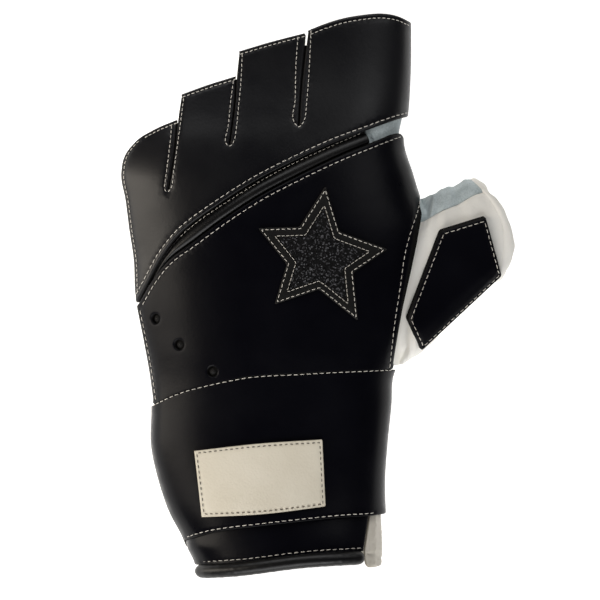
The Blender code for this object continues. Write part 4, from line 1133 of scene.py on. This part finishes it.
# %% Binding
BINDING_RADIUS = 0.0030
BINDING_DROP = 0.0025     # from the band's edge down to the roll's middle
BINDING_START = -0.0536


def tube(path, radius, up, sides=20, squeeze=1.0):
    """A ring of points round each point of a path: its radius turned round the run."""
    ahead = unit(np.gradient(path, axis=0))
    across = unit(np.cross(ahead, up))
    normal = np.cross(across, ahead)
    turn = turns(sides)
    size = np.broadcast_to(radius, len(path))[:, None, None]
    return path[:, None] + size * (across[:, None] * np.cos(turn)[:, None]
                                   + normal[:, None] * np.sin(turn)[:, None] * squeeze)


edge = share_line(BAND_END, 20)
edge = edge[(edge[:, 0] > BINDING_START) & (edge[:, 0] < band_side[-1, 0] + 0.0012)]
edge = even_steps(edge, 0.0004)
low = edge[:, 1] - BINDING_DROP
centre = wrap(edge[:, 0], low, np.full(len(edge), under + BAND * 0.4))
up = centre - wrap(edge[:, 0], low, np.full(len(edge), under + BAND))
at = np.arange(len(edge))
ends = np.clip(np.minimum(at, at[::-1]) / 7, 0, 1)
radius = BINDING_RADIUS * (0.15 + 0.85 * np.sqrt(1 - (1 - ends) ** 2))
radius = radius * (1 + 0.018 * np.sin(at * 0.6) * np.sin(at * 0.17))
grid_piece("fine_wrist_binding", tube(centre, radius, up, squeeze=0.95), GLOSSY,
           "wrist_binding", caps="disc")

# %% [markdown]
# ## The thumb
#
# The thumb is a tube of soft white leather with a suede side, open at its end, where the
# leather is turned over into a fat hem. It is worked out as rings: each ring has a middle,
# a width and a height from the table, square below and round above, and the rings bow out
# towards the opening. Bending a straight cylinder would be simpler, but the real tube is
# wider at its root, leans, and is far from round.

# %% The thumb's rings
# share, across and along of the upper side, across and along of the lower side, height
THUMB = (
    (0.00, 0.468, 0.330, 0.346, -0.247, 0.717),
    (0.18, 0.547, 0.345, 0.440, -0.243, 0.690),
    (0.40, 0.626, 0.375, 0.558, -0.186, 0.655),
    (0.65, 0.699, 0.390, 0.705, -0.080, 0.620),
    (0.85, 0.753, 0.410, 0.832, 0.002, 0.595),
    (1.00, 0.780, 0.413, 0.897, 0.044, 0.580),
    (1.15, 0.815, 0.410, 0.975, 0.090, 0.580),
)
# across the opening, share of the hem's reach
HEM_REACH = (
    (-1.0, 0.62), (-0.90, 0.82), (-0.79, 0.68), (-0.67, 0.48), (-0.58, 0.64), (-0.45, 0.68),
    (-0.20, 0.74), (0.0, 0.84), (0.25, 0.98), (0.50, 1.08), (0.70, 1.10), (1.0, 0.98),
)
THUMB_BULGE = 0.0086      # how far the rings bow out at the opening
THUMB_MIDDLE = 0.45       # where a ring is widest, as a share of its height
THUMB_LIFT = 0.0004       # the lowest place above the table
THUMB_POWERS = (3.0, 8.0)     # how squarely a ring's top falls off: upper side, lower side
SUEDE_START = math.acos(-0.72)
SUEDE_END = math.radians(199)


def thumb_sides(share):
    """The thumb's middle line, half its width as a vector, and its height."""
    upper, lower = (np.stack([read_table(THUMB, n, share) * HALF_WIDTH,
                              read_table(THUMB, n + 1, share) * HALF_LENGTH]) for n in (1, 3))
    return (upper + lower) / 2, (lower - upper) / 2, read_table(THUMB, 5, share) * HAND_HEIGHT


def thumb_ring(share, angle):
    """A ring: across is the cosine, and the height falls off from its level by a power of it."""
    middle, half, height = thumb_sides(share)
    across = np.cos(angle)
    level = THUMB_MIDDLE * height
    power = np.where(across > 0, THUMB_POWERS[1], THUMB_POWERS[0])
    up = (height - level) * (1 - np.abs(across) ** power) ** 0.4
    down = (level - THUMB_LIFT) * (1 - across**4) ** 0.25
    return middle, half, np.hypot(*half), across, level + np.where(np.sin(angle) > 0, up, -down)


def height_under(x, y, depth):
    """The height above a place of a face that lies a depth under the form."""
    top = wrap(x, y, 0.0)[..., 2]
    return top - depth / np.maximum(top - wrap(x, y, 1.0)[..., 2], 0.25)


def keep_under(x, y, z):
    """Lower a place that would touch the hand plate, easing off past the plate's edge."""
    lowered = np.minimum(z, height_under(x, y, PLATE + 2 * LAYER))
    return lowered + (z - lowered) * ease(np.clip((x - plate_right(y)) / 0.006, 0, 1))


def thumb_place(share, angle, out):
    """A place on the thumb, moved out along the ring's own normal."""
    _, _, _, e0, z0 = thumb_ring(share, angle - 0.02)
    _, _, _, e1, z1 = thumb_ring(share, angle + 0.02)
    middle, half, width, e, z = thumb_ring(share, angle)
    run_e, run_z = (e1 - e0) * width, z1 - z0
    size = np.maximum(np.hypot(run_e, run_z), 1e-9)
    bulge = THUMB_BULGE * share**3 * (1 - e**2) / width
    across = e + run_z / size * out / width
    x = middle[0] + half[0] * across - half[1] * bulge
    y = middle[1] + half[1] * across + half[0] * bulge
    return np.stack([x, y, keep_under(x, y, z - run_e / size * out)], axis=-1)


def crease(share, angle):
    """The soft leather's ripples: long waves round the thumb, and sharp folds at its root."""
    waves = np.sin(share * 19 + 2.2 * np.sin(angle * 1.7)) * 0.00035
    waves += np.sin(share * 43 + angle * 3.1) * 0.00016
    under_root = np.exp(-((angle - 0.50) / 0.45) ** 2) * np.exp(-((share - 0.12) / 0.16) ** 2)
    folds = 1 - np.abs(np.sin(share * 52 + angle * 2.6 + 0.5 * np.sin(angle * 9)))
    return waves * (0.45 + 0.8 * (1 - share)) + folds * 0.0011 * under_root


def thumb_strip(name, start, stop, thickness, material, slot, node):
    """A strip of the thumb between two angles, tucked in a little along both seams."""
    share, angle = np.meshgrid(np.linspace(0, 1, 90), np.linspace(start, stop, 150), indexing="ij")
    from_seam = np.minimum(angle - start, stop - angle) * 0.020
    tuck = 0.00055 * np.exp(-(from_seam / 0.0010) ** 2)
    outer = thumb_place(share, angle, crease(share, angle) - tuck)
    inner = thumb_place(share, angle, np.full_like(share, -thickness))
    strip_piece(name, outer, inner, material, slot, node)


SEAM_ROOM = 0.012         # the angle left between the leather and the suede
thumb_strip("fine_thumb_sleeve", SUEDE_END - 2 * math.pi + SEAM_ROOM, SUEDE_START - SEAM_ROOM,
            PALM, WHITE, "white_leather", "thumb_sleeve")
thumb_strip("fine_thumb_gusset", SUEDE_START, SUEDE_END, SUEDE, GREY, "grey_suede", "thumb_gusset")

# %% [markdown]
# ## The hem of the thumb
#
# At the opening the leather is turned over and sewn down, which makes a fat, uneven roll. It
# is an ellipse carried round the opening; a table gives how far it reaches out at each place,
# least where the suede ends. A torus would be quicker, but is round, flat and even.

# %% The hem of the thumb
HEM_DEPTH = 0.0016        # from the thumb's face in to the roll's middle
HEM_OUT = 0.0016          # from the opening out to the roll's middle
HEM_LENGTH = 0.0027       # half the roll's section, along the thumb
HEM_HEIGHT = 0.0017       # and across its leather
angle, turn = turns(240), turns(24)
edge = thumb_place(np.ones_like(angle), angle, np.full_like(angle, -HEM_DEPTH))
_, half, _ = thumb_sides(1.0)
outward = np.array([-half[1], half[0], 0.0]) / np.hypot(*half)
# A place a millimetre further in gives the way through the leather.
inwards = unit(thumb_place(np.ones_like(angle), angle, np.full_like(angle, -0.0026)) - edge)
fat = 1.04 + 0.05 * np.sin(angle * 7) + 0.03 * np.sin(angle * 17 + 1)
reach = fat * read_table(HEM_REACH, 1, np.cos(angle))
hem = (edge[:, None]
       + outward * (HEM_OUT + HEM_LENGTH * np.cos(turn)[:, None]) * reach[:, None, None]
       - inwards[:, None] * HEM_HEIGHT * fat[:, None, None] * np.sin(turn)[:, None])
hem[..., 2] = np.maximum(hem[..., 2], 0.0003)
grid_piece("fine_thumb_hem", closed_line(hem), WHITE, "thumb_hem")

# %% [markdown]
# ## The thumb's plate
#
# A five-sided plate of stiff leather is sewn on the thumb. It is cut flat like the others, so
# it has to be laid on the thumb: for each place seen from above, halving steps find the ring
# it belongs to. A shrinkwrap would press it on too closely; stiff leather runs on straight.

# %% The thumb's plate


def thumb_where(x, y):
    """The share along the thumb and the place across it of a point seen from above."""
    low, high = np.zeros_like(x), np.full_like(x, THUMB[-1][0])
    for _ in range(30):   # halvings, down to far less than a micrometre
        share = (low + high) / 2
        middle, half, _ = thumb_sides(share)
        square = half[0] ** 2 + half[1] ** 2
        ahead = ((y - middle[1]) * half[0] - (x - middle[0]) * half[1]) / np.sqrt(square)
        across = ((x - middle[0]) * half[0] + (y - middle[1]) * half[1]) / square
        beyond = ahead > THUMB_BULGE * share**3 * np.maximum(1 - across**2, 0)
        low, high = np.where(beyond, share, low), np.where(beyond, high, share)
    return share, across


def on_thumb(x, y, depth):
    """A place on the stiff plate: the thumb's top, run on straight at its sides."""
    share, e = thumb_where(x, y)
    _, _, tall = thumb_sides(share)
    level = THUMB_MIDDLE * tall
    bend = np.where(e > 0, THUMB_POWERS[1], THUMB_POWERS[0])
    near = np.minimum(np.abs(e), 0.80)
    rise = (1 - near**bend) ** 0.4
    fall = 0.4 * (1 - near**bend) ** -0.6 * bend * near ** (bend - 1) * (np.abs(e) - near)
    z = keep_under(x, y, level + (tall - level) * (rise - fall)) + PLATE + 0.0008
    # The plate tilts, so its raw side shows at the upper left.
    return np.stack([x - depth * 0.50, y + depth * 0.42, z - depth], axis=-1)


PATCH = ((0.858, 0.282), (0.621, 0.231), (0.448, -0.083), (0.526, -0.202), (0.943, 0.068))
patch = np.array(PATCH) * (HALF_WIDTH, HALF_LENGTH)


def patch_line(inset):
    """The patch's five sides, each drawn in by a distance, with its corners a little blunt."""
    sides = unit(np.roll(patch, -1, axis=0) - patch)
    moved = patch + left_of(sides) * inset
    last, start = np.roll(sides, 1, axis=0), np.roll(moved, 1, axis=0)
    ahead = ((moved - start)[:, 0] * sides[:, 1] - (moved - start)[:, 1] * sides[:, 0])
    ahead /= last[:, 0] * sides[:, 1] - last[:, 1] * sides[:, 0]
    corners = start + last * ahead[:, None] + (0.0005, -0.0004)
    before, after = np.roll(corners, 1, axis=0), np.roll(corners, -1, axis=0)
    blunt = 0.0008 / 0.04
    first, second = corners + (before - corners) * blunt, corners + (after - corners) * blunt
    return np.stack([first, (first + second + corners) / 3, second], axis=1).reshape(-1, 2)


patch_seam = closed_line(even_steps(patch_line(0.0016), 0.0006, True))
leather("fine_thumb_patch", patch_line(0.0004), BLACK, PLATE, place=on_thumb,
        grooves=[(patch_seam, FURROW)], node="thumb_patch")
stitches("thumb_patch", patch_seam, place=on_thumb, pitch=0.0026)

# %% [markdown]
# ## The palm
#
# The palm is one soft hide: flat where the glove lies, turned up into walls at both sides
# and slit between the fingers. It is drawn as a flat pattern too, and laid on a section
# that runs from the flat, through a round corner, up a leaning wall. A boolean then opens it
# to the thumb, whose root would be hard to draw in the flat.

# %% Palm
PALM_CORNER = 0.0070      # radius where the walls meet the flat bottom
PALM_WALL = 0.0120        # length of a wall in the flat pattern
PALM_END = -0.935 * HALF_LENGTH
PALM_BACK = 0.0019        # from the plates' fingertips back to the palm's
PLATE_LAP = 0.0035        # how far the palm laps the hand plate at the left
UNDER_PLATE = PLATE + 0.0009


def palm_frame(y):
    """The palm's section: its walls' tops, their upper ends and its bottom corners."""
    left, right, shoulder, _ = form_section(y)
    turned = ease(np.clip((y / HALF_LENGTH + 0.375) / -0.055, 0, 1))
    top, end = (wrap(plate_left(y) + 0.0015 + lap, y, UNDER_PLATE) for lap in (0.0, PLATE_LAP))
    wall_x, wall_z = left + UNDER_PLATE, shoulder - WALL_TOP
    top, end = ((place[..., 0] + (wall_x - place[..., 0]) * turned,
                 place[..., 2] + (height - place[..., 2]) * turned)
                for place, height in ((top, wall_z), (end, shoulder)))
    return top, end, top[0] + 0.0030, right - UNDER_PLATE, wall_z, shoulder, turned


def palm_curve(x, y):
    """The palm's outer face: flat between its corners, an arc at each, then up its walls."""
    top, end, low_left, low_right, wall_z, shoulder, _ = palm_frame(y)
    arc = PALM_CORNER * np.pi / 2
    left_flat, right_flat = low_left + PALM_CORNER, low_right - PALM_CORNER
    on_left = x < (left_flat + right_flat) / 2
    run = np.maximum(left_flat - x, x - right_flat)
    bend = np.clip(run / arc, 0, 1) * np.pi / 2
    wall = np.clip((run - arc) / PALM_WALL, 0, 1)
    lap = np.maximum((run - arc - PALM_WALL) / PLATE_LAP, 0)
    side = np.where(on_left, -1, 1)
    top_x, top_z = np.where(on_left, top[0], low_right), np.where(on_left, top[1], wall_z)
    end_x, end_z = np.where(on_left, end[0], low_right), np.where(on_left, end[1], shoulder)
    at_x = np.clip(x, left_flat, right_flat) + side * PALM_CORNER * np.sin(bend)
    at_x = at_x + wall * (top_x - np.where(on_left, low_left, low_right)) + lap * (end_x - top_x)
    at_z = PALM_CORNER * (1 - np.cos(bend)) + wall * (top_z - PALM_CORNER) + lap * (end_z - top_z)
    return at_x, at_z


def on_palm(x, y, depth):
    """Lay a place of the palm's flat pattern on its section."""
    x0, z0 = palm_curve(x - 0.0002, y)
    x1, z1 = palm_curve(x + 0.0002, y)
    at_x, at_z = palm_curve(x, y)
    run_x, run_z = x1 - x0, z1 - z0
    size = np.maximum(np.hypot(run_x, run_z), 1e-9)
    return np.stack([at_x - run_z / size * depth, y + 0 * x, at_z + run_x / size * depth], axis=-1)


def palm_side(y, side):
    """Where a palm wall ends in the flat: -1 is the left, which laps the hand plate."""
    _, _, low_left, low_right, _, _, turned = palm_frame(y)
    reach = PALM_CORNER * (np.pi / 2 - 1) + PALM_WALL
    return low_left - reach - (PLATE_LAP - 0.0002) * (1 - turned) if side < 0 else low_right + reach


def palm_outline():
    """Up the left wall, over the fingertips with a slit between each two, and down the right."""
    tips = [share_line(rows, 6) - (0, PALM_BACK) for rows in TIPS]
    left = down_an_edge(PALM_END, tips[0][0, 1], lambda y: palm_side(y, -1), 120)
    right = down_an_edge(tips[-1][-1, 1], PALM_END, lambda y: palm_side(y, 1), 120)
    first, *middle, last = over_the_tips(tips)
    return np.vstack([left, first[1:], *middle, last[:-1], right])


palm = leather("fine_palm", palm_outline(), WHITE, PALM, place=on_palm,
               middle=0.0022, step=0.0009, node="palm_panel")

# The space that the thumb takes up is cut out of the palm, right through its bottom.
share, angle = np.meshgrid(np.linspace(0, 1, 40), turns(96), indexing="ij")
space = thumb_place(share, angle, np.full_like(share, 0.0006))
space[0, :, 0] -= 0.0012
space[..., 2] = np.where(space[..., 2] < 0.0028, -PALM, space[..., 2])
cutter = add_object("thumb_space", grid_mesh("thumb_space", space, "disc"))
cut = palm.modifiers.new("thumb", "BOOLEAN")
cut.operation = "DIFFERENCE"
cut.object = cutter
bpy.context.view_layer.update()
whole = palm.evaluated_get(bpy.context.evaluated_depsgraph_get())
palm.data = bpy.data.meshes.new_from_object(whole)
palm.modifiers.clear()
bpy.data.objects.remove(cutter)
print("palm:", len(palm.data.polygons), "faces after the thumb's opening")

# %% [markdown]
# ## Walls between the fingers
#
# Between two fingers a strip of suede joins the plate to the palm: down one side of the slit,
# round its end and up the other. It stands upright, so a line in the flat is all it needs,
# raised from the palm to the plate. Extruding the line would miss the arch above.

# %% Walls between the fingers
WALL_GAP = 0.0022         # from the slit's middle to a wall's outer face
WALL_STARTS = (10, 10, 8)     # how many points short of the shorter fingertip each one begins
for number, (rows, short) in enumerate(zip(SLITS, WALL_STARTS), start=1):
    line = share_line(rows)
    run = unit(np.gradient(line, axis=0))
    side = left_of(run) * WALL_GAP
    turn = np.radians(np.linspace(0, 180, 19))[1:-1, None]
    crotch = line[-1] + np.cos(turn) * -side[-1] + np.sin(turn) * run[-1] * WALL_GAP
    path = np.vstack([(line - side)[short:], crotch, (line + side)[1:][::-1]])
    path = even_steps(path, 0.0008)
    up = np.linspace(0, 1, 16)[:, None]
    skins = []
    for x, y in (path.T, to_the_left(path, SUEDE).T):
        top, low = height_under(x, y, PLATE + 0.0012), PALM + LAYER
        skins.append(np.stack([x + 0 * up, y + 0 * up, low + (top - low) * up], axis=-1))
    strip_piece(f"fine_fourchette_{number}", *skins, GREY, "grey_suede", f"fourchette_{number}")

# %% [markdown]
# ## Light and camera
#
# A soft studio: a wide box in front and one behind light the table and the pale leather, a
# warm one low at the left lays the broad sheen on the side of the hand, and a weak one at the
# right lifts the thumb. The table glows a little, so the paper stays white round the glove as
# it does over a light table. The camera looks straight down through a long lens. An HDR
# picture could light it all at once, but four lamps can be moved one by one.

# %% Table
finish_stitches()
TABLE = 3.0               # half its width
TABLE_DROP = 0.0002       # how far it lies under the glove
corners = ((-1, -1), (1, -1), (1, 1), (-1, 1))
floor = add_object("table", bpy.data.meshes.new("table"))
floor.data.from_pydata([(x * TABLE, y * TABLE, -TABLE_DROP) for x, y in corners], [],
                       [(0, 1, 2, 3)])
paper, *_ = start_material("matt_paper", Roughness=0.9, Base_Color=linear("#F6F5F3"),
                           Emission_Color=(1.0, 1.0, 1.0, 1.0), Emission_Strength=0.70)
floor.data.materials.append(paper)
print("table:", 2 * TABLE, "m wide")

# %% Lamps


def soft_light(name, place, aim, size, power, colour=(1.0, 1.0, 1.0)):
    """A soft box that faces a point: its width and height in metres, its power in watts."""
    lamp = bpy.data.lights.new(name, "AREA")
    lamp.shape = "RECTANGLE"
    lamp.size, lamp.size_y = size
    lamp.energy = power
    lamp.color = colour
    thing = add_object(name, lamp)
    thing.location = place
    ahead = np.array(aim) - np.array(place)
    thing.rotation_euler = (math.acos(-ahead[2] / np.linalg.norm(ahead)), 0.0,
                            math.atan2(ahead[1], ahead[0]) - math.pi / 2)


soft_light("left_box", (-1.3, 0.0, 0.62), (-0.05, 0, 0.02), (0.55, 1.4), 12.0, (1.0, 0.92, 0.81))
soft_light("right_box", (0.95, 0.7, 1.2), (0.02, 0, 0), (0.4, 0.7), 1.5)
soft_light("front_box", (0.0, -1.9, 1.3), (0, 0, 0), (2.4, 1.2), 40.0)
soft_light("back_box", (0.0, 1.9, 1.3), (0, 0, 0), (2.4, 1.2), 20.0)

world = bpy.data.worlds.new("studio")
world.use_nodes = True
background = world.node_tree.nodes["Background"]
background.inputs["Color"].default_value = (1.0, 1.0, 1.0, 1.0)
background.inputs["Strength"].default_value = 0.04
bpy.context.scene.world = world
# Plain paper white and deep blacks, as in a product photograph.
bpy.context.scene.view_settings.view_transform = "Standard"

# %% Camera
SENSOR = 36.0
CAMERA_HEIGHT = 5.0
LEATHER_HEIGHT = 0.035    # above the table, where the frame is measured
FRAME = 0.252             # width of the frame there
camera = add_object("camera", bpy.data.cameras.new("camera"))
camera.location = (-0.00756, -0.00210, CAMERA_HEIGHT)
camera.data.sensor_width = SENSOR
camera.data.lens = SENSOR * (CAMERA_HEIGHT - LEATHER_HEIGHT) / FRAME
camera.data.clip_end = 20.0
bpy.context.scene.camera = camera
print("camera lens", round(camera.data.lens, 1), "mm")
